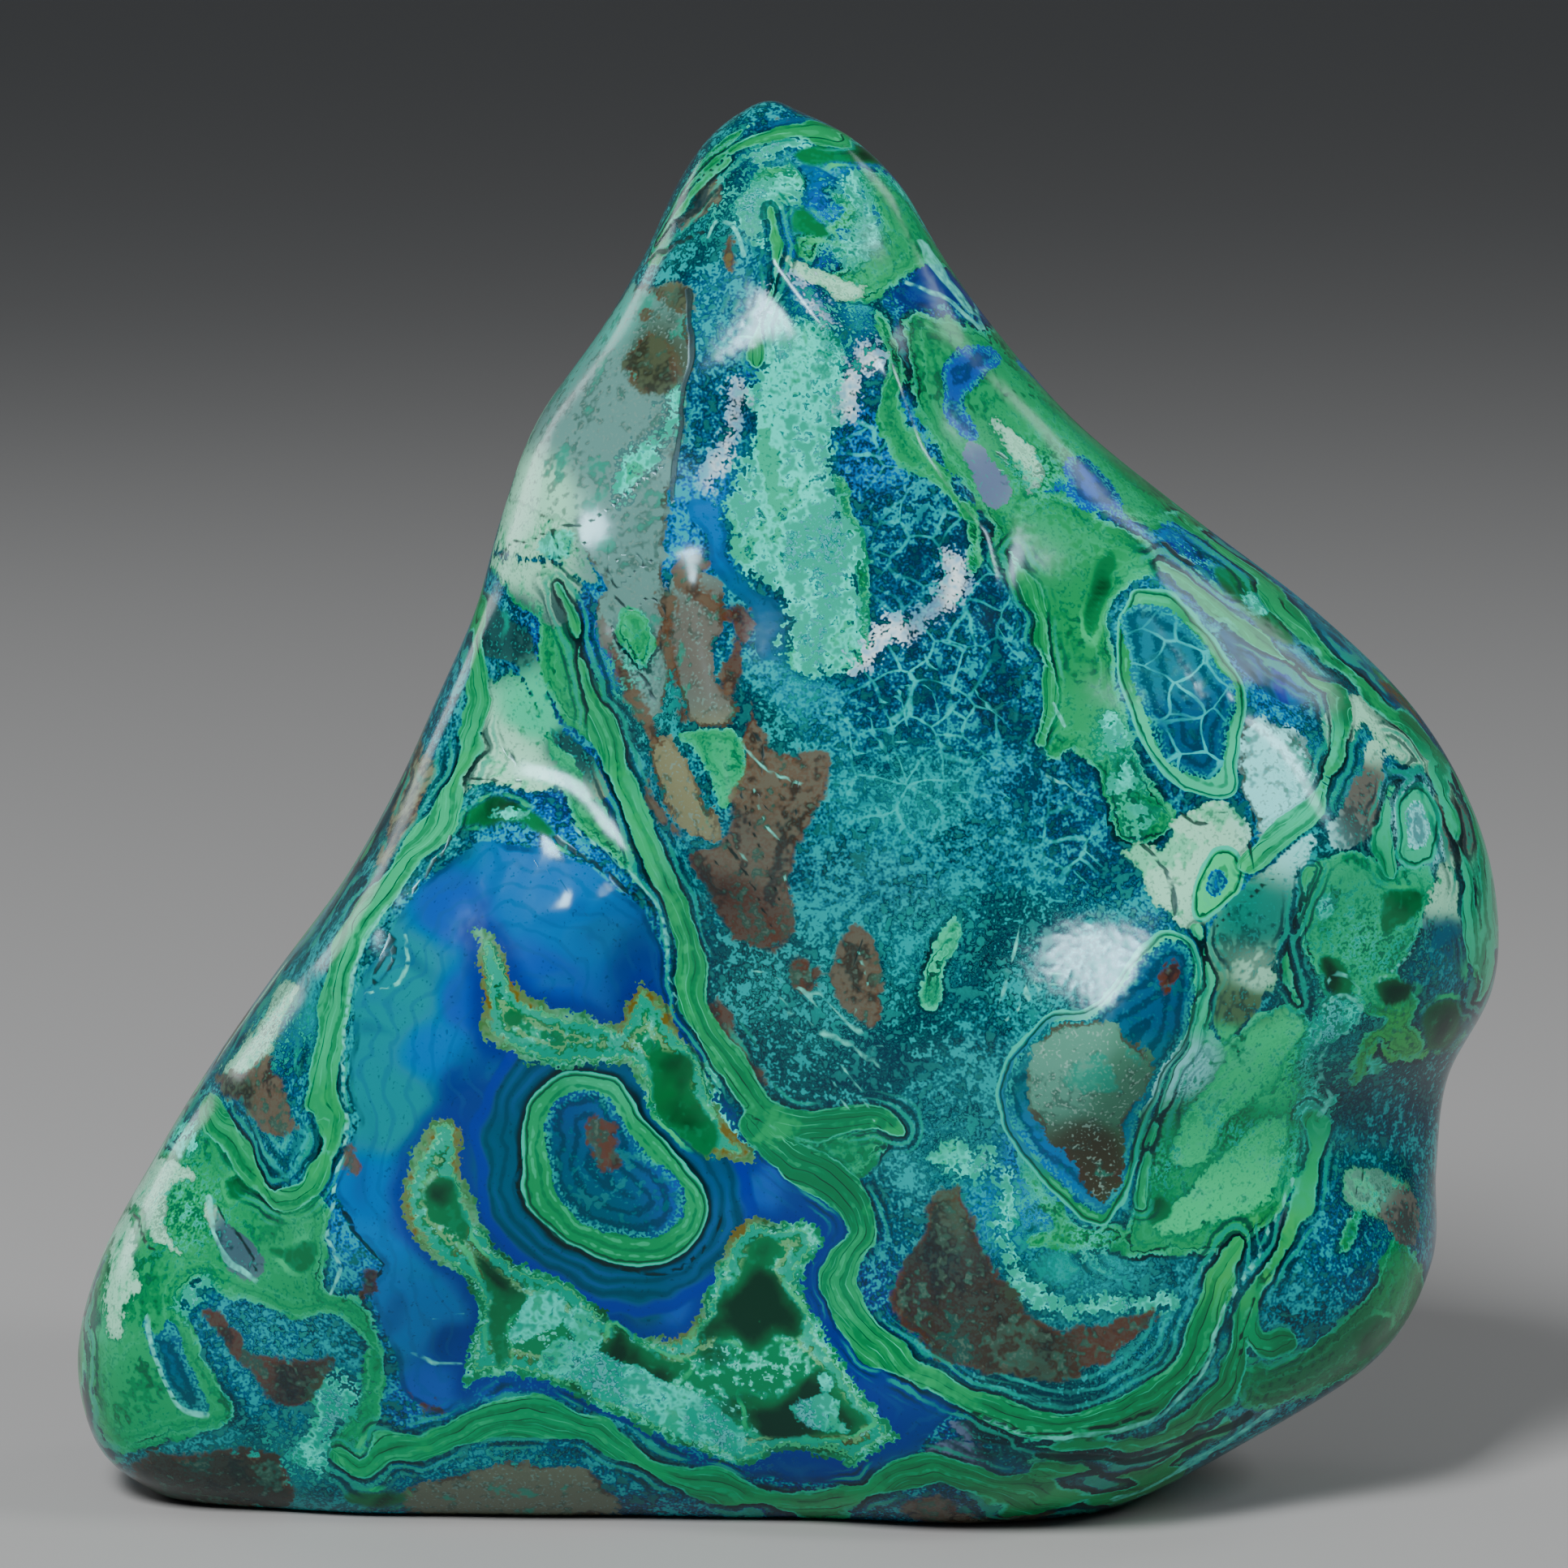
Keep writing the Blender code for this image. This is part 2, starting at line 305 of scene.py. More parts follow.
BLUE = [  # azurite
    [(-33, 50), (-35, 46.2), (-37, 43), (-37.5, 38), (-37.8, 34), (-37, 31.5), (-38, 29), (-38.8, 26),
     (-38.3, 24), (-36.5, 21), (-35, 18.5), (-36, 16.3), (-34.6, 13), (-33.2, 8), (-31.5, 6.2), (-29, 5.6),
     (-26.5, 6.4), (-24, 7.2), (-20, 7.2), (-16, 5.8), (-12, 3.6), (-8, 1.6), (-3, 0.2), (3, -0.2), (7, 0.2),
     (9.5, 1.4), (11.5, 3.4), (14, 5.5), (16, 6.8), (12.5, 8.8), (8, 12), (5.3, 14.3), (3.8, 16.8),
     (4.3, 18.6), (5.4, 20.3), (5.4, 22.5), (4, 25), (1.4, 27.2), (-1.2, 28.6), (-3.2, 30.2), (-4.8, 33),
     (-6.8, 36.4), (-8.2, 39.4), (-9.9, 42), (-10.7, 46), (-12.5, 50), (-16, 53), (-20, 55.2), (-25, 55.8),
     (-28, 54.8), (-31, 52.5)],
    [(9, 103), (11, 104.6), (12.4, 106.6), (14, 104.6), (15.2, 102.8), (13.5, 102), (11, 101.6)],
    [(31.3, 83), (33.5, 82.2), (36.3, 79.3), (36, 78.5), (33.6, 80.2)],
    [(36.8, 74), (38.5, 73.6), (41, 72), (43.6, 70), (44.2, 68.4), (42.4, 68), (40, 69.4), (38, 71.6)],
    [(40.2, 78.9), (43, 77), (46, 74.8), (50, 71.2), (53, 67.8), (55.6, 65), (54.2, 64), (51, 66.8),
     (47.5, 70.4), (44.4, 73.8), (41.8, 76.6)],
    [(-20.2, 65.8), (-18.8, 65), (-16.4, 62), (-14.9, 59.2), (-15.2, 57.6), (-16.8, 60), (-18.8, 62.8)],
    [(-8.6, 85), (-6.4, 85.2), (-5, 82.6), (-5.4, 80), (-3.2, 77.6), (-1, 76.8), (0, 74.4), (-0.4, 72),
     (-2.4, 72), (-2.8, 75), (-5, 77.4), (-6.4, 79.4), (-7, 82)],
    [(26.8, 0.4), (28, 1.2), (29.4, 1), (29.6, -0.4), (28.2, -1.2), (27.2, -0.6)],
    [(0.9, 113.4), (2.4, 113.6), (4.6, 112.6), (3.6, 110.6), (2.4, 110), (0.6, 110.6)],
    [(1.6, 118), (3.6, 117), (5, 115.8), (3.4, 116.2), (0.6, 117), (-2.4, 116.6), (-3, 117.4), (-0.6, 117.9)],
]
GREEN = [  # malachite bodies
    [(-14.2, 75.6), (-12.6, 75.8), (-11.4, 74), (-11.4, 71.8), (-12.6, 70.6), (-13.6, 72), (-14.4, 73.8)],
    [(-9.2, 65.2), (-6.5, 66), (-4, 65.6), (-3.2, 63), (-4.6, 60.6), (-5.8, 58.6), (-6.4, 61), (-7.8, 63.4)],
    [(47.8, 35.4), (48.8, 36.8), (49.6, 39), (51.4, 40.6), (53.6, 39.8), (55, 38), (53.6, 37.2), (51.8, 37.4),
     (50.8, 38.2), (49.8, 36.4), (48.6, 34.8)],
    [(-60.6, 16), (-59, 21), (-57, 25.5), (-55, 28.2), (-52, 30.5), (-49.6, 33), (-47.8, 30), (-45.5, 26.8),
     (-43, 24.6), (-40.1, 25.5), (-39.8, 21), (-39.8, 17), (-37, 16), (-35.4, 13), (-34.8, 10), (-35, 6.5),
     (-36, 3.6), (-37.5, 1.6), (-39, 1.4), (-40, 2.8), (-38.6, 5.2), (-37, 8.2), (-36.2, 11.3), (-37.5, 13.6),
     (-40, 14.4), (-44, 14.7), (-48, 16.2), (-51, 17.5), (-52.8, 15.5), (-51.5, 12.5), (-49.5, 9),
     (-47.8, 6.3), (-49.3, 4.6), (-53, 3.8), (-57, 2.6), (-59.2, 3.6), (-60.4, 6.5), (-60.8, 11)],
    [(-25.6, 79.9), (-23.5, 77), (-21.5, 74.8), (-21.2, 72), (-21, 69.4), (-18.8, 66.6), (-16.6, 64.8),
     (-15.4, 65.6), (-15.8, 68.5), (-17.3, 72), (-18.2, 75), (-19.6, 76), (-21, 75.6), (-23.2, 77.9),
     (-24.8, 79.9)],
    [(-21, 64.6), (-20, 61.6), (-18.3, 58), (-16.5, 55.8), (-14, 53.6), (-12.8, 52.2), (-14.2, 56),
     (-15.6, 59), (-17.6, 62.2), (-19.6, 65.4), (-21.8, 68.8)],
    [(7.6, 101.4), (8.8, 100.4), (9.6, 97), (9.8, 93), (11.6, 89.6), (14.4, 86), (16, 83), (16.2, 79.4),
     (15, 78.8), (15.2, 81), (14.2, 84.4), (11.4, 87.2), (9.2, 88.6), (8.1, 91.4), (7.7, 94.4), (8.2, 97.6)],
    [(4.5, 116.3), (6.5, 115), (8.5, 112.7), (10.4, 109.7), (12, 106.8), (13.6, 104.6), (11.6, 105.4),
     (10, 104.4), (8.5, 103), (6.5, 102.2), (4.4, 102.8), (3.6, 104.6), (5.6, 106.6), (7.8, 108.8),
     (6.8, 111.2), (5.4, 112.8), (5.4, 114.8)],
    [(10, 101.2), (13.5, 100.8), (18, 98.9), (22, 95), (26, 91.4), (30, 87.8), (33.6, 84.6), (31, 83.4),
     (27.4, 84.2), (24.4, 84.4), (23.2, 87), (21.6, 86), (20.2, 83), (18, 79.2), (17.2, 82.5), (14.6, 87),
     (11.6, 91), (10.5, 95)],
    [(19.4, 84), (22.5, 86), (26.4, 84), (29.6, 82.2), (31.6, 79.6), (30.4, 78.8), (28.2, 77.6), (27.5, 75),
     (27.8, 71.5), (28.6, 68), (29.3, 65), (30.5, 61.5), (33, 58), (30.8, 56), (28.2, 56.2), (27.3, 59),
     (26.3, 62.2), (24.5, 63.6), (22, 63), (21.5, 66), (21.9, 70), (21.1, 73), (20.1, 76.5), (18.4, 79.4)],
    [(29.4, 20.3), (33, 20), (38, 20.6), (41.6, 22.6), (43.9, 26), (44.8, 31), (45, 36), (45, 40.5),
     (43.5, 42), (41, 41), (38.5, 39), (36.4, 38.4), (36.3, 43), (35.8, 46), (35, 44), (34.8, 40), (33, 36),
     (31, 31), (29.8, 26)],
    [(38, 8.5), (40.5, 6.2), (45, 7.4), (49.5, 9.8), (52.7, 12.8), (54.8, 16.5), (54.5, 19.5), (52.5, 22),
     (51.5, 19.2), (49.5, 15.8), (47, 13.8), (44, 11.6), (40, 10.6), (38.6, 13.5), (37.4, 11)],
    [(44.3, 52), (46, 54.6), (49, 55.2), (51, 54), (54, 54.6), (55.4, 52), (54.5, 49), (52.4, 45), (54, 42),
     (53, 39.6), (50.4, 40.6), (47.5, 43), (45, 45), (43.8, 48.5)],
    [(-3, 31), (0, 30.3), (4, 30.3), (7.3, 31), (9.2, 30), (8, 28.7), (5.5, 26.8), (3, 27.2), (0, 28.5),
     (-2.3, 29.9)],
    [(14.7, 50.3), (15, 48), (13.3, 45), (12.8, 42), (11.6, 41.4), (11, 43), (11.5, 45.5), (12.8, 47.8),
     (14, 49.8)],
    [(-3.6, 112.4), (-1.4, 113.8), (0.8, 113.4), (1.2, 112.2), (-1, 111.4), (-3, 111)],
    [(1.6, 105.6), (3.8, 107.6), (6.6, 108.4), (5.4, 111.2), (3.2, 111.8), (4.6, 109.8), (3, 108.2),
     (0.8, 107.6)],
    [(20, 20.2), (24.5, 20.4), (29, 20.9), (28.2, 22.6), (25.6, 22.4), (23, 24.8), (20.6, 28.4), (19.6, 30),
     (19.8, 27.4), (22, 24.4), (23.2, 22.2), (20.6, 21.4)],
    [(47.6, 20.2), (48.2, 22.4), (49.8, 24.8), (49.4, 22.6), (48.6, 20.4)],
    [(4.8, 71.4), (5.6, 73.5), (5.8, 76.8), (5.2, 80.4), (4.2, 84), (3.8, 87.4), (4.8, 87), (5.6, 84),
     (6.8, 81), (7.1, 77), (6.9, 73.4), (5.8, 71)],
    [(49.6, 72.6), (51.5, 71.5), (52.6, 69.8), (51, 70)],
    [(-12.6, 106), (-11.4, 109.4), (-9.6, 112.8), (-7.4, 115.6), (-5.4, 117.2), (-5.6, 115), (-8.2, 112),
     (-9.8, 108.6), (-10.8, 105.4)],
]
TURQUOISE = [  # turquoise clouds
    [(-53.6, 33.2), (-52.4, 32.6), (-51, 30), (-51.6, 28.8), (-53.2, 30.6)],
    [(-4, 114.4), (-2, 115.8), (0.6, 116.8), (3.6, 116.6), (5.6, 115.6), (3, 115.9), (0, 115.4),
     (-2.4, 113.8)],
    [(-1.8, 102), (-2.6, 99), (-3, 96), (-3.2, 93.5), (-2.8, 91), (-4.2, 89), (-4.8, 86.5), (-5, 84),
     (-5.2, 82), (-4.5, 80.5), (-3.4, 79), (-1.5, 78.3), (0, 77), (0.4, 75), (-0.1, 73), (0.5, 71.3),
     (3, 70.8), (5, 71), (6.3, 73.5), (6.5, 76.5), (6, 79), (6.3, 81), (4.5, 84), (3.8, 87), (4, 90),
     (4.6, 93), (4.3, 96), (3.8, 99.3), (2, 100.8), (0, 100.3), (-0.8, 102.5)],
    [(-24.6, 15), (-21.5, 16), (-18.5, 16), (-16.2, 13.6), (-17.5, 11), (-15.5, 8.8), (-12, 8), (-8.5, 8.6),
     (-5, 8), (-3.6, 6), (-4.6, 3.4), (-7, 3.2), (-10, 4.6), (-14, 6.6), (-18, 8.4), (-21.5, 9.4), (-24, 11)],
    [(-40.5, 9.2), (-38.8, 9), (-37.3, 8), (-37.8, 6.4), (-39.6, 4.4), (-40.4, 1.8), (-39.6, 0), (-42, 1.2),
     (-43.4, 2.4), (-41.8, 4.6), (-41.8, 6.8)],
    [(-20.6, 27.4), (-19.4, 27.6), (-18.2, 26.4), (-17.4, 25.4), (-18.6, 25.2), (-19.8, 26.2)],
    [(18.2, 22), (18.6, 18.4), (20.4, 15.8), (23.4, 14.4), (27, 14.4), (31, 15.2), (32.6, 16.2), (29, 16.2),
     (25.4, 15.6), (22, 16.8), (20, 19), (19.2, 21.8), (19.8, 25), (18.8, 27.6), (18, 25)],
    [(12.4, 28.6), (14, 30.2), (15.8, 28.8), (18, 29.6), (17, 27), (14.8, 26.8)],
    [(-51.6, 17.2), (-50, 17.4), (-50.4, 16), (-51.6, 15), (-52.3, 15.6)],
    [(30.6, 40.6), (29, 41.4), (27.4, 42), (26.6, 44.2), (28, 43.8), (29.6, 42.6), (31, 42)],
    [(28.2, 60.5), (28.6, 63), (29.4, 62.4), (30, 59.6), (30.4, 57.8), (29.6, 56.3), (28.6, 57.4)],
    [(26.4, 66), (27.8, 66.6), (29, 65.2), (28.4, 64), (27, 64)],
    [(-4.6, 110.6), (-3, 112.4), (-1.4, 111.4), (-0.6, 113), (1, 112.4), (0.4, 110.8), (-1.6, 109),
     (-1.8, 106.6), (-3, 107.8)],
    [(5.2, 113.2), (6.6, 111.4), (7.4, 109.4), (6.8, 107), (5, 105.6), (3.2, 106.6), (5, 107.8), (5.8, 109.6),
     (4.6, 111.2), (3.4, 111.8)],
    [(-12.6, 89.4), (-11, 92), (-9.4, 94.6), (-10, 91.4), (-12, 88.2), (-14.6, 85.6), (-14, 87.6)],
    [(-6.6, 37.4), (-5.6, 34.4), (-4.8, 31.4), (-3.4, 28.4), (-5, 29), (-6.6, 31.6), (-7.8, 35)],
    [(45.2, 41), (47, 42.8), (48.6, 41.4), (47.6, 39.4), (45.8, 38.4), (45.2, 35), (46.6, 33), (45.2, 30),
     (44.8, 27), (44, 30), (44, 34.5), (44.2, 38.5)],
    [(22, 34), (20, 33.8), (19.4, 35.4), (20.4, 37.4), (22, 38.4), (21.2, 36)],
]
PALE = [  # cream and pale leaf; along the side edges and at the upper left partly a painted highlight
    # along the right edge: a pale band, partly a painted rim highlight
    [(48.6, 68.6), (51, 67), (54.8, 63.4), (57.4, 60), (59.4, 55), (60.2, 50), (60.4, 45), (59.4, 42.6),
     (58.8, 46), (58.8, 51), (57.8, 56), (55.6, 60.6), (52.6, 64.2), (50, 66.6)],
    [(19.6, 1.4), (22, 2), (24.6, 1.8), (26.8, 0.9), (26.4, 0.1), (23.6, 0.5), (21.6, 0.8)],
    [(48, 27), (50, 27.4), (52.6, 26.6), (53.6, 25), (52, 23.4), (50, 23.4), (48.4, 24.6)],
    [(-25.6, 80.6), (-22.4, 80.2), (-20, 79.8), (-18, 78.4), (-18.6, 75.4), (-20.3, 74.4), (-22.4, 76.3),
     (-24.4, 78.6)],
    # at the upper left: cream, partly a painted highlight where the ridge catches the light
    [(-24.3, 84.8), (-21, 84.2), (-18.6, 83), (-17, 80), (-16.4, 78.6), (-18.4, 79), (-21, 80.6),
     (-24.8, 81)],
    [(-26.6, 70.6), (-25, 70), (-23.4, 70.4), (-22, 68.5), (-20.6, 66), (-19.8, 63), (-19.4, 60.6),
     (-21.6, 60.2), (-24, 60.8), (-26.6, 61), (-28.6, 59.4), (-29.6, 58), (-28.8, 61), (-27.4, 63.6),
     (-26, 66.6)],
    [(28.4, 55), (30, 56), (32, 55.6), (33, 57.5), (36, 59.5), (39, 58.5), (39.6, 56), (38.8, 53),
     (37.2, 50.6), (35.2, 48.9), (33.4, 48.8), (31.8, 51), (29.8, 53.4)],
    [(43.9, 41.5), (44.4, 39.5), (42.5, 36.5), (40, 34), (37.5, 31.3), (36, 28.6), (34, 27.6), (32.6, 28.4),
     (34.5, 32.6), (37, 36), (39.5, 38.6), (41.6, 41)],
    [(42.8, 31.8), (43, 28.5), (42, 26), (40, 24), (37, 23), (33.5, 21.5), (31.6, 22.4), (34, 25),
     (36.5, 27.5), (39.5, 30.5), (41, 32)],
    [(-57, 25.8), (-55.6, 28), (-53.4, 28.4), (-51, 27), (-53.4, 26), (-53.8, 23), (-52.4, 19.8),
     (-54.4, 21.2), (-55.6, 23.4)],
    [(-57.4, 24.6), (-56.3, 21), (-56, 18), (-57.3, 15.5), (-57.8, 12.8), (-58.8, 13), (-59.1, 16),
     (-58.6, 20)],
    [(17.5, 92), (19, 91), (20.5, 89.8), (21.6, 87.6), (20.6, 86), (19.5, 87.5), (18.6, 89.5)],
    [(-0.8, 106.4), (0.4, 106), (2, 105), (4, 104.6), (6, 104), (6, 102.6), (4, 102.8), (3, 103.6),
     (1.4, 104), (0, 104.8)],
    # on the left edge: cream, partly a painted highlight along the ridge
    [(-46.6, 38.4), (-48.6, 36.4), (-48, 35.4), (-45.6, 36.6), (-44, 39.4), (-42, 43), (-43.4, 43.4),
     (-45.4, 40.6)],
    [(45.6, 66.8), (48.6, 68.8), (51, 67.6), (54.6, 63.6), (56.2, 62.6), (55, 62), (52.4, 62.6), (50.4, 64.6),
     (48.8, 66.2), (47, 62.6), (45.6, 60), (46, 63.4)],
    [(55.6, 54), (57, 53.4), (57.4, 51), (56.6, 49.4), (55.4, 50), (55.2, 52)],
    [(38, 44.4), (40, 45.2), (42, 44.8), (41.4, 43), (39.4, 43.4)],
]
SLATE = [  # slate
    [(13.6, 4.9), (17, 5), (21, 4), (25, 3.4), (29, 3.1), (33.4, 3.4), (30, 2.2), (26, 1.9), (22, 2.4),
     (18, 3.3), (15, 3.6)],
    [(43.2, 24.6), (44.1, 23.6), (43.4, 22), (42.6, 20.4), (42.1, 21), (42.7, 23)],
    [(-27, 75.5), (-26.2, 77.5), (-24.8, 76.7), (-23.5, 74.8), (-22, 73.2), (-21.1, 70), (-19.6, 66.8),
     (-18.2, 64.8), (-16.4, 62.4), (-15.3, 60.4), (-16.8, 60), (-18.6, 62.8), (-20.2, 65.2), (-21.2, 67.4),
     (-22.6, 70.2), (-24, 71.7), (-25.8, 72.2), (-27, 74.3)],
    [(36.3, 48), (38, 51), (41, 53.5), (45, 56.6), (43.6, 53), (42.6, 48.5), (41.4, 44.5), (40, 41),
     (38, 37.6), (36.8, 40), (36.6, 43), (36.1, 46)],
    [(46, 57), (47.6, 59.4), (49, 63), (50, 65), (51.2, 62.4), (50.4, 60), (50.6, 57), (49, 55.8),
     (47, 55.4)],
    [(-50, 25), (-48.5, 23.6), (-47, 21.5), (-45.3, 19.5), (-45.6, 18), (-47, 17.6), (-48.5, 18.6),
     (-49.3, 20.6), (-50, 23)],
    [(15.6, 90.6), (17.3, 89), (19.2, 86.8), (18.4, 84.6), (16.6, 85), (15.7, 86.8), (15, 89)],
    [(11.6, 2.2), (14, 3.4), (18, 2.6), (22, 1.4), (26, 0.2), (22, 0), (18, 0.6), (14, 1.6)],
    [(54.6, 49.6), (57, 51), (58.2, 47), (58, 43.6), (56.4, 46), (55, 47.4)],
    [(55.6, 60.6), (57.6, 59.4), (58.4, 55.4), (57, 53.6), (56.2, 56), (55.4, 58.4)],
    [(51.4, 24.6), (53.6, 25.4), (54.6, 22.4), (53.4, 20.8), (52, 22)],
]
GOLD = [  # green figures that lie in the azurite
    [(-30, 32), (-28, 31), (-28.4, 27.5), (-27.2, 23.7), (-25, 20.7), (-22, 18.6), (-19, 17.4), (-16.4, 15.6),
     (-13.4, 13.2), (-10, 12.6), (-8, 13.9), (-7.5, 16), (-6.2, 18), (-5.3, 20.5), (-4.2, 22.6), (-3, 23.3),
     (-1, 22.8), (1, 23), (2.7, 21.6), (1.8, 19.5), (1, 17.5), (1.5, 16), (2.5, 14), (3.8, 12), (5.2, 9.6),
     (6.8, 7.6), (8.2, 5.5), (9.2, 3.7), (7.6, 2.7), (5.5, 1.2), (4, 2.1), (0, 2.7), (-4, 1.5), (-7, 2.2),
     (-10, 3.4), (-14, 5.3), (-17, 6.8), (-20, 8), (-24, 9.1), (-27, 9.1), (-28, 8.3), (-27.6, 12),
     (-26.8, 15), (-27.9, 17.2), (-29.6, 19), (-31.6, 21), (-33.2, 23.6), (-33, 26.6), (-31.8, 29.4)],
    [(-26.7, 48.2), (-25, 46.8), (-23.2, 43.8), (-21, 41.9), (-17.5, 40.9), (-14.5, 40.2), (-14, 42.2),
     (-12.8, 43.8), (-11.6, 42.4), (-10.4, 41.8), (-9.5, 40), (-7.8, 37.5), (-6.3, 34), (-5.2, 31),
     (-3.2, 27.8), (-6, 28.3), (-9, 30), (-11.5, 31.5), (-12.5, 34.5), (-14, 36.5), (-17, 36.7), (-20, 36.2),
     (-22.5, 36.8), (-24.5, 37.8), (-26, 39), (-26.6, 43)],
]
DARK = [  # dark malachite hearts
    [(54.4, 40.4), (56, 42.4), (57.8, 42), (58, 39.6), (56.6, 37.8), (55, 38.6)],
    [(50.2, 43.4), (52, 44.2), (54, 43.2), (52.6, 42), (51, 41.6)],
    [(28, -0.6), (30, 1), (33, 2.2), (36, 3.4), (33, 1), (30, -0.4)],
    [(-30.6, 27), (-29, 26.6), (-28.3, 23.6), (-27.6, 21.6), (-26, 19.5), (-24.2, 17.6), (-22.6, 16),
     (-24.4, 14), (-24.2, 11), (-25, 9.7), (-26, 11.4), (-26, 15), (-26.6, 18), (-29, 21.7), (-31, 23.5),
     (-31.6, 25.6)],
    [(-22.6, 40.6), (-23.4, 41.6), (-24.5, 40.7), (-23.8, 39.6)],
    [(-12.2, 37), (-11, 38), (-9, 37.8), (-8.3, 36.5), (-8.5, 35), (-7.5, 33.5), (-6.5, 32), (-6.2, 30),
     (-6.8, 28.5), (-8.5, 29.5), (-10.5, 30.7), (-11.3, 32), (-11.6, 34)],
    [(-3.5, 20.7), (-2, 21.7), (-0.8, 20.6), (-1, 18.5), (0.5, 16), (1.5, 14.3), (1, 12.5), (-1, 13),
     (-3, 11.6), (-5, 12.4), (-8.4, 12.4), (-6.8, 14.6), (-6.5, 16), (-4.5, 17.7)],
    [(-4, 8), (-1.5, 7.2), (1, 9), (3.4, 9.8), (5, 7), (7.2, 5.4), (6.4, 4.6), (4.6, 3.8), (2, 4), (-1.6, 4),
     (-3.2, 4.8), (-3.5, 6.3)],
    [(-15.4, 14.2), (-13, 12.6), (-11, 11.2), (-8.6, 10.4), (-9.6, 8.6), (-11.6, 7.8), (-13.5, 9), (-16, 10),
     (-17, 11), (-16, 12.6)],
    [(-28.5, 57.4), (-27, 58.9), (-24.8, 59.9), (-22.5, 59.2), (-20.5, 57.4), (-18.6, 55.2), (-21.5, 57),
     (-24, 57.5), (-26.5, 57.1)],
    [(36, 79.6), (38.5, 79), (40.6, 78), (42.2, 76), (43.2, 72.8), (41, 73.6), (38.8, 75.6), (37, 77.6)],
    [(50.6, 50.8), (52, 52.6), (54.4, 52), (54.6, 50), (52.6, 49), (51, 48.4)],
    [(45.6, 46), (47.4, 45.6), (48.6, 43.6), (47.4, 42.6), (45.8, 44)],
    [(25.4, 77), (26.2, 80), (27.4, 82), (27.8, 80), (27, 76.6), (26, 73), (25.2, 74.6)],
    [(0.3, 114.6), (2.2, 115.7), (5, 115.2), (5, 114.2), (2.6, 113.6)],
    [(0.2, 109.9), (1.4, 110.4), (3, 109), (4.2, 107.2), (2.4, 107.4), (0.4, 108.4)],
    [(31.2, 22.6), (32.6, 23), (33, 24.6), (31.8, 25.4), (30.8, 24.2)],
    [(39, 11.4), (40, 10.8), (43, 11), (45, 12), (42, 10.8), (39.6, 10)],
    [(-44.8, 20.4), (-43.4, 20.6), (-42, 21.6), (-40.8, 21), (-41.6, 18.8), (-43.4, 18.6)],
    [(-48.6, 26.6), (-47, 26.8), (-46.4, 25.4), (-47.8, 24.8)],
    [(-37.8, 1.9), (-36.6, 2.6), (-35.2, 3.4), (-35.8, 4.2), (-36.8, 3.4)],
    [(31, 3.4), (33.6, 4.4), (36, 4.6), (34.6, 3.2)],
    [(49, 12.6), (51, 14.6), (52.2, 14.4), (50.8, 12), (49.4, 10.6)],
    [(-38.4, -1.2), (-35.4, -0.8), (-33, -1.4), (-34.4, -2.4), (-37.6, -2.2)],
]
ISLE = [  # turquoise isles over the hearts and figures
    [(-21.6, 81.6), (-20.4, 83), (-18.6, 82.6), (-18.8, 80.6), (-20.4, 80)],
    [(-21.4, 9.6), (-16.4, 7.6), (-12.4, 5.5), (-8.6, 3.5), (-5, 2.7), (-3.8, 4.6), (-6.6, 7), (-10.6, 9),
     (-15, 11), (-20, 12.4)],
    [(-24.4, 12), (-22, 12.4), (-20, 13.6), (-19.6, 15.8), (-21.8, 16.4), (-23.4, 14.6)],
    [(50.1, 36.9), (51, 36.9), (51.1, 36), (50.3, 35.9)],
    [(0.2, 6.6), (2, 7.3), (4.4, 6.6), (4.1, 5.3), (5.6, 4.3), (3.4, 4.4), (0.9, 5.3)],
    [(-19.2, 14.4), (-18, 15.4), (-16.8, 14.4), (-16.2, 12.4), (-17.6, 11.6), (-18.6, 13)],
    [(2.6, 9), (3.6, 9.2), (3.8, 8), (2.8, 7.9)],
    [(45.2, 50.8), (46.2, 51.6), (47, 50.4), (46.2, 49.2), (45.2, 49.6)],
    [(38.6, 77.4), (40.6, 77), (41.2, 75.4), (39.4, 75.6)],
    [(-25.5, 58.2), (-23.6, 58.9), (-22, 58.4), (-23.4, 57.9)],
]
RING = [  # rings of the nodules
    [(-17.6, 36.3), (-15, 35.6), (-13.4, 34), (-12.2, 31.5), (-10.3, 29.4), (-8.2, 27), (-6.9, 24.5),
     (-7.2, 22), (-8.8, 20.4), (-11, 19.2), (-14, 18.9), (-17, 19.9), (-20, 21.8), (-22.5, 24.4),
     (-23.3, 27.5), (-23.1, 30.5), (-22.1, 33.5), (-20, 35.8)],
    [(28.8, 77), (30, 78.3), (32.4, 77.7), (34.6, 75.6), (36.6, 73), (38.4, 70), (38.9, 67), (38.6, 63),
     (38.8, 60.6), (37, 59.6), (34, 60.2), (31.6, 62), (29.8, 65), (28.9, 68.4), (27.9, 72)],
    [(34.5, 50.4), (35, 53.4), (36.6, 55.4), (38.4, 55.2), (39.3, 53.4), (38.6, 51.4), (36.6, 49.8),
     (35.2, 49.2)],
    [(51.8, 57), (52.4, 59.8), (54.2, 60.8), (55.8, 59.4), (56, 56.6), (55, 54.4), (53.2, 54), (51.6, 55)],
    [(30.2, 46.6), (32, 48.3), (34.4, 47.6), (35.6, 45), (35.5, 42), (34.4, 39), (32.8, 36), (31.5, 33),
     (30.5, 30), (29.7, 27.2), (28.8, 24.8), (27.4, 22.6), (25.8, 22.8), (23.5, 25), (21, 27.5), (19, 30.2),
     (18, 33), (18.2, 35.8), (19.2, 38), (22, 40.6), (26, 42)],
]
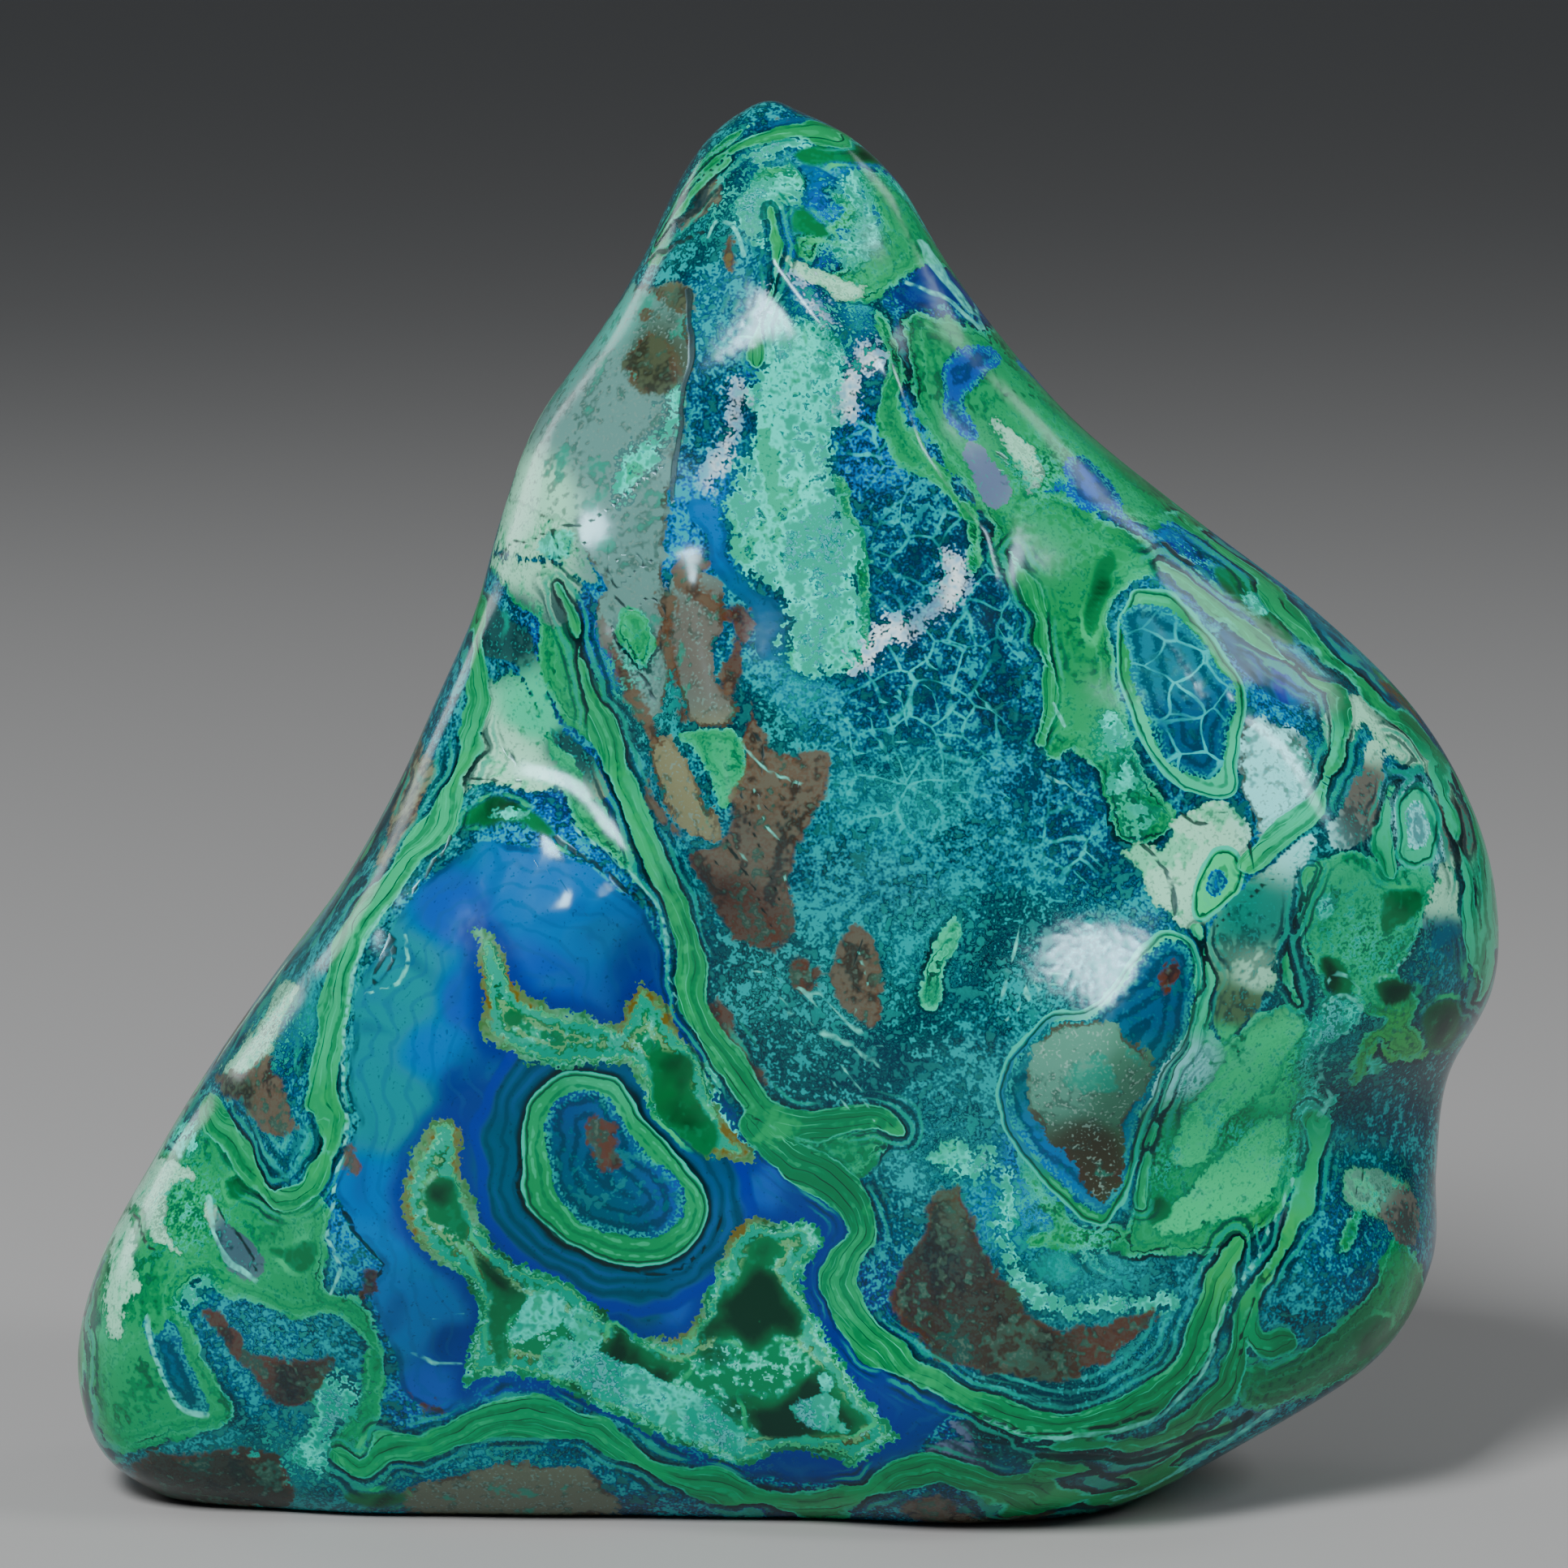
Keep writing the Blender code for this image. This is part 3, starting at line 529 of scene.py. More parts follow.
CORE = [  # cores of the nodules, and dark figures in the greens
    [(13, 97), (14.5, 98.4), (17, 98.2), (18, 97.2), (16.7, 96), (15.5, 94.5), (15.3, 92.8), (16.3, 91),
     (15, 91), (13.3, 92), (13, 94.4)],
    [(24, 88.8), (25.5, 88.9), (27, 87), (28.6, 85), (29.4, 83.2), (27.4, 84.3), (25, 84.6), (23.6, 86)],
    [(-17.5, 34.4), (-15.5, 33.7), (-14.3, 31.5), (-12.5, 29), (-10.2, 27), (-9.1, 25.2), (-9.5, 23),
     (-12, 21.6), (-15, 21.7), (-18, 23.1), (-20.5, 26), (-21.1, 28.5), (-20.9, 31.5), (-19.8, 33.5)],
    [(29, 76.4), (31, 76.8), (33.2, 75.6), (35, 73.4), (36.7, 71), (38, 68.5), (37.6, 65.5), (37, 63),
     (36, 61.3), (34.4, 61.5), (32.4, 62.6), (31, 65), (30.3, 68), (29.2, 71.5), (28.5, 74)],
    [(35.7, 52.4), (36.4, 53.6), (37.3, 53.3), (37.5, 52.2), (36.8, 51.3), (36, 51.3)],
    [(52.7, 57), (53.1, 58.8), (54.2, 59.5), (55, 58.4), (55, 56.6), (54, 55.4), (53, 55.6)],
    [(30.8, 46.2), (32, 47.5), (34, 47), (35, 45), (34.9, 42), (33.8, 39), (32.3, 36.3), (31, 33.4),
     (29.9, 30), (29.1, 27.4), (28.2, 25.2), (27.2, 23.8), (26.2, 23.9), (24.2, 25.8), (21.8, 28.2),
     (19.8, 30.8), (18.8, 33.2), (19, 35.6), (19.8, 37.4), (22.2, 39.8), (26, 41)],
    [(-55.6, 14.8), (-54.5, 12.8), (-53.5, 14), (-52.3, 11.4), (-51, 8.4), (-50.3, 6.2), (-52, 6),
     (-53.5, 7.6), (-54.6, 10.2), (-55.4, 12.6)],
]
BROWN = [  # brown iron stain
    [(13.5, 25.5), (15, 25.5), (16.5, 23), (17, 20), (18.5, 17.5), (21, 14.5), (23.5, 13.5), (27, 13.6),
     (30, 14.3), (31.5, 14.6), (30, 12.8), (28, 10.9), (26, 10.5), (24.5, 9.3), (20, 9.3), (16, 9.8),
     (14, 10.3), (12, 12), (9.5, 14), (8.5, 16), (9, 18), (10.5, 20), (11.5, 22.5), (12, 24.5)],
    [(-3.6, 68.6), (-2.4, 66), (-1.4, 64.2), (1, 63.6), (3.6, 63.4), (3.6, 61), (2.2, 58.5), (1, 56),
     (0.4, 53), (0.8, 50), (0.3, 47.8), (-1.5, 46.9), (-3, 47.4), (-5, 49), (-6.2, 50.4), (-7.4, 52.6),
     (-8.6, 55), (-6.4, 55.8), (-5, 57.6), (-5, 60.5), (-4, 62.6)],
    [(-15.9, 75.4), (-15, 73.2), (-13.2, 69.4), (-11.4, 66), (-10.6, 64.4), (-11.5, 64.6), (-13.2, 67.2),
     (-15, 70.6), (-16.2, 73.6)],
    [(-16.8, 32), (-15.5, 31.5), (-15.2, 29.5), (-14.2, 28.2), (-15.2, 27.2), (-16.5, 27.8), (-17.3, 30)],
    [(-50.7, 15.6), (-49.5, 15.2), (-48, 13.1), (-46.3, 11), (-43.5, 10.9), (-41, 11), (-39.4, 10.5),
     (-40, 9.4), (-41, 8), (-42.5, 6.5), (-44.3, 6.8), (-46, 8.8), (-48, 11.2), (-49.8, 13.5)],
    [(-49, 35.6), (-46.4, 36.4), (-45, 37.4), (-44.2, 36), (-43.3, 34.4), (-42.4, 32.4), (-42.8, 30.5),
     (-44, 30.2), (-46, 31.8), (-47.7, 33.8)],
    [(5.2, 48.2), (6.5, 48.2), (7.5, 46), (8, 43), (8.2, 40.8), (7.2, 39.8), (5.5, 41.3), (4, 43), (4, 45),
     (4.6, 47)],
    [(0.2, 45.6), (1.6, 45.8), (2.4, 44.2), (1.6, 42.8), (0.2, 43)],
    [(-6.6, 42.2), (-5.4, 41.4), (-4.2, 39), (-3.2, 36.8), (-1.9, 34.8), (-2.8, 34.6), (-4.4, 36.9),
     (-5.6, 39.4)],
    [(32.2, 45.4), (33.4, 45.6), (33.8, 44.4), (32.8, 42.9), (31.8, 43.3)],
    [(-13.8, 97.4), (-12, 99.3), (-10, 98.7), (-9.2, 96.6), (-10.2, 94.8), (-12.8, 95)],
    [(-13.4, 101), (-12.2, 101.9), (-11, 101), (-12, 100)],
    [(-11.8, 103), (-10, 103.6), (-8.4, 103.2), (-8.3, 101), (-10, 101.6)],
    [(-5.6, 106.6), (-4.8, 107.8), (-4.2, 106.6), (-4.6, 104.8), (-5.4, 105.2)],
    [(-9.8, 79.5), (-8, 80.6), (-6.4, 80), (-7.6, 78.4), (-6.2, 76.6), (-3.6, 75.8), (-2.8, 74.4),
     (-3.8, 72.6), (-4, 70.6), (-5.2, 68.4), (-6.2, 69.8), (-5, 72), (-4.6, 74.2), (-6.8, 75.4),
     (-8.6, 77.4)],
    [(-11, 77.6), (-9.8, 77.4), (-9.7, 73), (-9.2, 69.4), (-8.4, 66.6), (-9.4, 66.6), (-10.4, 70),
     (-10.9, 74)],
    [(-57, 1.6), (-53, 2.4), (-48, 2.8), (-44.6, 1.6), (-43.4, 0), (-44, -2.4), (-50, -2.6), (-56, -1.6)],
    [(9.6, -2), (11.5, -1.4), (13.4, -1.4), (15.4, -2.2), (18, -2.9), (20.6, -3), (23, -2.6), (22, -3.6),
     (16, -4.2), (10.6, -3.4)],
    [(-38.4, 29), (-37.6, 29.4), (-36.4, 27.6), (-37.6, 27.4)],
    [(-36.6, 18.6), (-35.4, 18.2), (-35.8, 16.6), (-36.8, 15.8), (-36.8, 17.2)],
    [(-33, 8.4), (-31.4, 6.8), (-30.2, 5.8), (-31.8, 6)],
    [(-34.4, 57.6), (-33, 61), (-31.6, 64.6), (-30.8, 62.6), (-31.6, 59), (-33.4, 55.6), (-35.4, 53.4)],
    [(-2.8, 118.6), (-0.8, 118.3), (1.2, 118), (1.4, 117.4), (-1, 117.5), (-3, 117.9)],
    [(-7.2, 113.2), (-6, 112.8), (-5.8, 110.8), (-7.6, 109.6), (-9.6, 108.6), (-8, 110.6)],
    [(51, 70.8), (53, 68.6), (54.2, 66.8), (53.2, 67), (51.2, 69.2)],
    [(-12, 62), (-11.6, 60), (-10.4, 58), (-9, 56.8), (-9.8, 56.6), (-11.6, 58.6), (-12.6, 61)],
]
FROST_AND_SHEEN = [  # chalky white, partly real and partly a painted sheen where the polish mirrors the light
    [(5.2, 70.8), (6.4, 73.2), (8, 74.6), (10.4, 75.2), (12, 76.8), (13.4, 79.4), (14.4, 80.4), (15.2, 78.6),
     (14.4, 76.6), (12.6, 75.4), (10.4, 73.6), (8, 72.8), (6.2, 71)],
    [(4.4, 93), (4.9, 96), (5.8, 98), (7, 98.4), (8, 97.4), (7, 96.6), (6, 96), (5.6, 94), (5.2, 92.4)],
    [(-2.2, 103.6), (-1.9, 102), (-2.4, 100.6), (-3, 101.6), (-2.7, 103)],
    [(-4.4, 95), (-3.6, 94), (-4.4, 91.4), (-5.4, 88.8), (-6.6, 86.6), (-7.6, 87.4), (-6.6, 89.6),
     (-5.2, 92)],
    [(12.6, 81.4), (13.6, 81), (14.6, 79), (14, 78), (13, 79.6)],
    [(-0.8, 105), (0.6, 104.4), (2.4, 102.6), (3.4, 101), (2.6, 101), (0.8, 102.8), (-0.4, 104)],
]

# Seams of green: half the width, then the path.
SEAMS = [
    (0.56, [(45.6, 31), (45.5, 28), (44.9, 25.4), (43.5, 22), (41.3, 19), (40.1, 16), (40, 13.4), (41.2, 12),
            (43, 12.4)]),
    (0.6, [(-19.8, 78), (-18.3, 74.6), (-17.2, 70.4), (-16.2, 67.4), (-15.3, 64.4)]),
    (1.15, [(-15.8, 66.6), (-15.2, 64), (-14.3, 61), (-13.2, 58), (-12, 55), (-10.7, 52), (-9.3, 49),
            (-8.5, 46), (-8.3, 43), (-7.3, 40), (-5.4, 37), (-3.6, 34.3), (-1.5, 32), (1.5, 31.2),
            (4.5, 31.4), (7.5, 31.9), (9.4, 31)]),
    (1.2, [(-3, 31), (-2, 29.7), (0, 28.3), (3, 26.8), (5.3, 25.3), (6.4, 23.2), (6.3, 21.3), (4.9, 19.3),
           (4, 17.6), (4.4, 15.8), (6, 13.7), (8.5, 11.6), (11.5, 9.4), (14.5, 7.6), (17.5, 6.2), (21, 5.2),
           (25, 4.9), (28.5, 5.6), (31.5, 7.2), (33.8, 9.4), (35.3, 12), (36.3, 15), (37.1, 18), (38.4, 21)]),
    (0.2, [(20, 3.3), (24, 2.9), (28, 3), (32, 3.6), (35, 5.2)]),
    (0.8, [(33.6, 4.6), (37.3, 7.4), (38.6, 10), (38.9, 13.5), (40.6, 17.2), (42.7, 20.5), (44.4, 24),
           (45.2, 28), (45.3, 31.4)]),
    (0.5, [(22, 0.9), (26, 0.7), (30, 0.5), (34, 2.6), (38, 5)]),
    (1.1, [(-38.8, 1.9), (-37.3, 0.9), (-36, 1.3), (-34.5, 2.5), (-32, 3), (-29, 4), (-26, 5.3), (-23, 5.8),
           (-20, 5.5), (-17.5, 4.5), (-15, 3), (-12, 1.5), (-9, 0.3), (-5, -1.2), (0, -2), (5, -1.6),
           (8, -0.3), (10.5, 0.9), (13, 1.2), (16, 0.3), (19, -0.9), (23, -1.3), (26, -1.3), (29, -1.6),
           (33, 0.4)]),
    (0.55, [(-26.6, 76.6), (-26.4, 72.4), (-26.3, 68.6), (-27, 64.6)]),
    (0.95, [(-26.8, 64.8), (-27, 64), (-28.6, 61), (-29.8, 58), (-32, 54.8), (-34.5, 52), (-36.8, 49),
            (-38.4, 45), (-39.3, 41), (-39.8, 36.5), (-39.5, 32), (-39.9, 28.4), (-41.7, 25.6), (-43.8, 24.9),
            (-46, 26.9), (-48, 29.9), (-49.5, 32.5)]),
    (0.45, [(-37.4, 47), (-38.8, 42.6), (-39.9, 38), (-40.6, 33)]),
    (0.6, [(60.2, 47), (60.1, 52), (59.6, 56), (58.3, 60), (56, 63.6)]),
    (0.5, [(59.2, 42), (60, 45), (60.2, 47)]),
    (0.5, [(31.4, 80.4), (34, 78.4), (37, 75.6), (40.4, 72.8), (44.5, 70.4), (47, 69)]),
    (0.75, [(46.6, 68.4), (47, 65.6), (46.6, 62.6), (45.2, 59.8), (43, 57.3), (41, 55.4), (39.4, 53.8)]),
    (0.7, [(33, 84.8), (37, 81.4), (40.4, 78.4), (43.4, 74.6), (46.4, 71.8), (50, 68.4), (54.6, 63.9)]),
    (0.4, [(30.3, 24.4), (30.4, 27), (31.6, 31), (33.4, 35.8), (35.4, 40.6), (36, 45), (35, 48.4)]),
    (0.4, [(-33.4, 61.6), (-36.4, 55.4), (-41, 49), (-46, 42.6), (-49.6, 37)]),
    (0.5, [(21.5, 64.6), (22.4, 69), (21.6, 73.6), (20.6, 77.4), (18.8, 80.6)]),
    (0.4, [(-12, 107.4), (-9.6, 109.6), (-7.6, 112), (-5.4, 114)]),
    (0.35, [(-9.6, 111), (-7, 113.6), (-4, 115.6), (-0.5, 116.6), (3, 116.4)]),
    (0.4, [(-1.6, 110), (-0.9, 107), (-1.4, 104), (-2.2, 101), (-2.6, 97)]),
    (0.35, [(-58.8, 2.2), (-60.6, 5), (-61.2, 10), (-60.8, 16)]),
    (0.45, [(55.4, 62.6), (56.8, 58), (58.2, 52), (58.6, 46)]),
    (0.4, [(51.2, 53.6), (50.8, 56.6), (51.4, 60), (53.4, 62)]),
    (0.4, [(44, 42.2), (43, 45.6), (43.8, 50), (44.8, 53.4)]),
]

# Light veins, the lines of the crackle, and dark cracks: half the width, then the path.
VEINS = [
    (0.09, [(-0.2, 54.4), (0.3, 51.8), (1, 49.4)]),
    (0.08, [(-4.4, 55.6), (-3, 53.4)]),
    (0.08, [(-1.4, 42.6), (2, 40.2), (5, 38.8), (8.4, 38)]),
    (0.08, [(-0.4, 41.4), (1.6, 38.2), (3.6, 35.6), (5, 32.6)]),
    (0.07, [(2, 39.6), (4.6, 38.6), (8.4, 36.2)]),
    (0.07, [(5.4, 42), (6.4, 39), (8, 36.6)]),
    (0.07, [(-3.4, 45.2), (0, 43.2), (3, 42.4)]),
    (0.08, [(6, 46.4), (6.8, 44), (6.6, 42.2)]),
    (0.12, [(44.4, 41), (45.6, 39.4), (44.8, 37.6), (46, 36), (45, 34.4), (46.4, 33)]),
    (0.12, [(45.8, 43), (47, 44.4), (48.6, 43.8), (48.8, 42.2), (47.6, 41.4)]),
    (0.16, [(-34.3, 50.6), (-36.4, 47), (-37.7, 43), (-38.3, 39), (-38.4, 34), (-38.2, 30), (-38.9, 26),
            (-39.7, 22), (-38.8, 19), (-39.3, 16.4)]),
    (0.14, [(-36.6, 42.8), (-33.8, 43.5), (-33, 45), (-32.8, 48)]),
    (0.12, [(-4, 65), (-2.4, 63), (-0.5, 61.6), (1.5, 60.6)]),
    (0.1, [(-3, 60.6), (-2.2, 58), (-1, 56.2)]),
    (0.12, [(20.2, 50), (19.2, 46), (18, 42)]),
    (0.12, [(22, 62), (24, 61), (26, 59.6)]),
    (0.1, [(35, 17.6), (37, 20.6)]),
    (0.16, [(-54.4, 33.6), (-53.4, 30.4), (-52.6, 28.6)]),
    (0.14, [(-31, 14), (-28.5, 15)]),
    (0.12, [(-33, 11), (-30.4, 10.3), (-28, 10.2)]),
    (0.2, [(-55.4, 14.8), (-54.8, 11.4), (-53.8, 8.2), (-52.4, 6.2), (-50.4, 5.8)]),
    (0.24, [(-50, 25.2), (-49.4, 22), (-48.6, 19.4), (-47, 18.3), (-45.8, 17.4)]),
    (0.2, [(23.6, 66), (22.6, 68.4)]),
    (0.12, [(1, 43), (3.4, 40.6), (5.6, 38), (7, 36)]),
    (0.1, [(2.4, 43.2), (4.6, 41), (6.6, 38.6)]),
    (0.12, [(4.4, 37), (6, 34), (7.2, 31.6)]),
    (0.14, [(19.4, 42.4), (21.4, 44), (24, 45)]),
    (0.14, [(18.6, 40.6), (21, 42.6), (24.4, 44)]),
    (0.2, [(17, 5.4), (21, 4.2), (25, 3.8), (29, 4.4), (32, 5.6), (34.6, 8), (36, 10.6)]),
    (0.2, [(36.2, 11), (37, 14), (38.4, 17), (40.6, 20), (42.4, 23.4), (43.6, 26.4)]),
    (0.2, [(28, -2), (32, -0.2), (37, 2.8), (42, 6)]),
    (0.14, [(-6.6, 108), (-5.6, 109.4), (-4.4, 108.4), (-3.6, 106)]),
    (0.14, [(-6, 98.2), (-4, 99.2), (-2.4, 98.9)]),
    (0.16, [(11, 107.4), (12.4, 104.8), (15, 102), (18, 99.6)]),
    (0.14, [(10, 104), (12, 103), (14.6, 101.6), (16.4, 99.8)]),
    (0.14, [(45.6, 32), (46.6, 33.6), (45.8, 36), (46.8, 38.4), (48.4, 39.6), (49, 41.6), (47.6, 42.8),
            (46, 41.6)]),
    (0.12, [(50.6, 43.6), (52.4, 45.2), (53.6, 47)]),
    (0.12, [(-19, 58), (-17.4, 56.4), (-15, 54.6), (-12.8, 52.4), (-11, 49), (-10.2, 45), (-9.4, 42)]),
]
CRACKLE = [
    (0.16, [(3, 67), (5, 66.8), (7.6, 67.8), (9.4, 69.2), (11.6, 69.7), (12.6, 67.6), (12.8, 65.4)]),
    (0.14, [(9.3, 69.3), (9.5, 67.4), (9.9, 65.6)]),
    (0.18, [(6, 63.8), (8.4, 64.3), (11, 64.6), (12.8, 64.8)]),
    (0.14, [(12.9, 64.8), (13.1, 62.6), (13, 60.8)]),
    (0.12, [(13, 64.2), (15.4, 63.6), (17.2, 62.8)]),
    (0.14, [(15.2, 65.2), (16, 67), (17.2, 68)]),
    (0.12, [(15, 71.4), (15.6, 69.8), (17, 67.8), (19.4, 65.4)]),
    (0.14, [(11.8, 73), (12, 71.4), (13.4, 70.6), (15, 71), (15.4, 73), (16.4, 74.2)]),
    (0.12, [(13, 60.8), (14.8, 60.2), (17, 61.4), (20, 63.4)]),
    (0.12, [(17.6, 74.6), (18.8, 72.8), (20, 71.6)]),
    (0.1, [(6.6, 60), (8, 57.8), (9, 56.2)]),
    (0.12, [(5, 66.8), (5.6, 64.8), (6, 63.8), (6.2, 61.6), (6.6, 60)]),
    (0.12, [(7.4, 67.6), (7.2, 66), (8.4, 64.3)]),
    (0.12, [(8.4, 64.3), (9.2, 61.8), (11, 60.6), (13, 60.8)]),
    (0.1, [(9.2, 61.8), (8.4, 59.6), (8, 57.8)]),
    (0.1, [(14.8, 60.2), (14.6, 57.6), (16, 55.4)]),
    (0.12, [(7.6, 67.8), (7.4, 70), (8.6, 72)]),
    (0.1, [(17, 67.8), (19, 68.6), (20, 71.6)]),
    (0.1, [(17.2, 62.8), (18, 60.6), (20.2, 59.4), (22, 57.6)]),
    (0.1, [(24.6, 58.6), (23.6, 56.2), (24.4, 53.6), (26, 52)]),
    (0.1, [(23.6, 56.2), (21.4, 54.8), (20, 52.6)]),
]
CRACKS = [
    (0.12, [(-5.6, 56.4), (-4, 54), (-2.6, 51), (-1.4, 48.4)]),
    (0.1, [(-4.4, 61), (-3.4, 57.4), (-2, 54.4), (-0.6, 51)]),
    (0.1, [(-3, 66), (-2, 63.4), (-2.6, 60.6), (-1.6, 58.4)]),
    (0.08, [(1.4, 62.8), (0.2, 60), (0.6, 57.6)]),
    (0.08, [(-6.4, 54.6), (-5, 52.4), (-3.8, 49.8)]),
    (0.09, [(-15, 77), (-13.6, 75.8), (-12, 77), (-10.6, 76), (-10.8, 73), (-10.4, 70.4)]),
    (0.09, [(-14.8, 74.2), (-14, 71.6), (-12.6, 70), (-11.4, 68)]),
    (0.08, [(-15.6, 79.4), (-13.4, 80.8), (-11.4, 79.4)]),
    (0.08, [(6.4, 47.4), (5.6, 44.6), (6.6, 42)]),
    (0.16, [(-38.6, 24), (-37.4, 22.2), (-36, 20), (-35, 18.6), (-36, 17), (-36.8, 15.8)]),
    (0.14, [(-35.4, 43.6), (-34.8, 46), (-34, 48.2)]),
    (0.14, [(-35, 43.4), (-34.2, 44.8), (-33.8, 48)]),
    (0.14, [(-32.6, 51.4), (-31, 53), (-30, 54.6), (-28.9, 56.6)]),
    (0.2, [(-20, 56.6), (-18, 55), (-16, 53.8), (-14, 52.2), (-12, 50.2)]),
    (0.06, [(-21.4, 54.6), (-20, 53.2), (-18.6, 50.8), (-16, 48)]),
    (0.06, [(-24.6, 56.6), (-22.6, 55.2)]),
    (0.12, [(-24.6, 80.6), (-22.8, 81.8), (-20.5, 83), (-18, 83.6)]),
    (0.1, [(-20.6, 83), (-20, 81.4), (-20.6, 80.2)]),
    (0.1, [(-21, 79.6), (-19, 80.6), (-17.4, 82)]),
    (0.1, [(-17.5, 83.8), (-15, 85.2), (-12.6, 87), (-10.6, 88.6)]),
    (0.1, [(-14.6, 77.6), (-13, 79.4), (-11.4, 80.6)]),
    (0.08, [(-14.8, 77.8), (-15.4, 80), (-15, 82)]),
    (0.2, [(-8.2, 103), (-8.1, 99), (-8.7, 95), (-9.3, 92), (-9.7, 88.6), (-10, 85)]),
    (0.12, [(-24.8, 65.6), (-24.4, 64), (-23.4, 63), (-23.8, 61.8), (-22.6, 61.2)]),
    (0.1, [(-24, 64), (-22.8, 62.6)]),
    (0.16, [(-27.6, 61.2), (-26.2, 61.6), (-25, 61.2)]),
    (0.2, [(30.4, 55.8), (32, 54.2), (33, 51.8), (33.2, 49.8)]),
    (0.14, [(33.4, 58.4), (35.4, 57.6), (37, 58.2), (38.2, 58.6)]),
    (0.18, [(39.7, 59), (39.6, 56), (39.9, 53)]),
    (0.07, [(36.2, 47.4), (37.6, 49.4), (40, 51.6), (43, 54), (45.6, 56)]),
    (0.1, [(17.8, 87.4), (18.6, 88.6), (17.6, 89.6)]),
    (0.2, [(-23.4, 29), (-23.6, 26.4), (-22, 23.6), (-19.4, 21.2), (-16.4, 19.4), (-13, 18.4), (-10.6, 18.3),
           (-8, 19.6), (-6, 21.8), (-5.4, 24.4)]),
    (0.18, [(16, 5.8), (20, 4.6), (24, 4.2), (28, 4.8), (32, 6.4)]),
    (0.25, [(22, 2.2), (26, 1.9), (31, 2.2), (36, 3.9), (40, 6)]),
    (0.14, [(-45.8, 18), (-46.6, 20), (-47.8, 22.4), (-49.2, 24.6)]),
    (0.12, [(-57, 25.4), (-56, 22), (-54.6, 20)]),
    (0.1, [(50, 28.4), (49, 25), (48.2, 22)]),
    (0.2, [(39.2, 10.6), (39, 13), (40.2, 16)]),
    (0.2, [(31.6, 81.8), (33, 80.6), (34.6, 80)]),
    (0.12, [(-11.8, 107), (-10, 108.6), (-8, 110), (-6, 112)]),
    (0.16, [(-13, 105), (-11, 106.4), (-9, 107.6), (-7, 108.4)]),
]

DEPTH = 1.2  # how much stronger a body colour is than its look under a soft light
BODY = 0.6  # and how much darker
LIFT = 0.8  # and how much brighter the pale ones are
BRIGHTEST = 0.92  # up to this
SMALL_GRAIN = 1300.0  # grains to the metre
FINE_GRAIN = 4200.0
PLATES = 330.0  # plates of crazing to the metre
REFRACTION = 1.48  # index of the polished skin
GLOSS_TINT = (0.5, 0.85, 1.0, 1.0)  # a cool gloss, like the light it mirrors

# Named mineral colours, as seen on the polished face under a soft light.
MINERALS = {
    "azurite": (0, 92, 190), "deep azurite": (0, 58, 142), "sky azurite": (0, 122, 196),
    "sea azurite": (0, 150, 160), "smoke azurite": (0, 90, 112), "prussian": (0, 96, 136),
    "lagoon": (0, 130, 150), "teal": (0, 118, 128), "dark teal": (4, 82, 88), "sky": (10, 136, 166),
    "malachite": (0, 172, 112), "leaf": (0, 158, 98), "emerald": (0, 134, 86), "mint": (0, 192, 136),
    "pale mint": (80, 214, 166), "apple": (84, 196, 112), "celadon": (112, 158, 152),
    "aqua grey": (96, 188, 172), "umber grey": (76, 88, 70), "cream": (164, 228, 198), "ice": (150, 236, 236),
    "pale leaf": (76, 220, 150), "khaki grey": (136, 140, 112), "sage": (108, 168, 148),
    "umber": (66, 62, 44), "stone grey": (116, 124, 106), "slate": (44, 88, 88), "slate blue": (40, 104, 132),
    "sea slate": (24, 146, 128), "sage umber": (84, 136, 112), "ink": (0, 36, 40), "olive": (92, 126, 92),
    "brown grey": (116, 118, 110), "lilac": (112, 130, 162), "purple grey": (80, 112, 124),
    "bark": (64, 50, 32), "rust": (94, 58, 38), "moss brown": (84, 94, 72), "chestnut": (104, 70, 50),
    "tan": (112, 98, 80), "gold brown": (112, 90, 38),
}
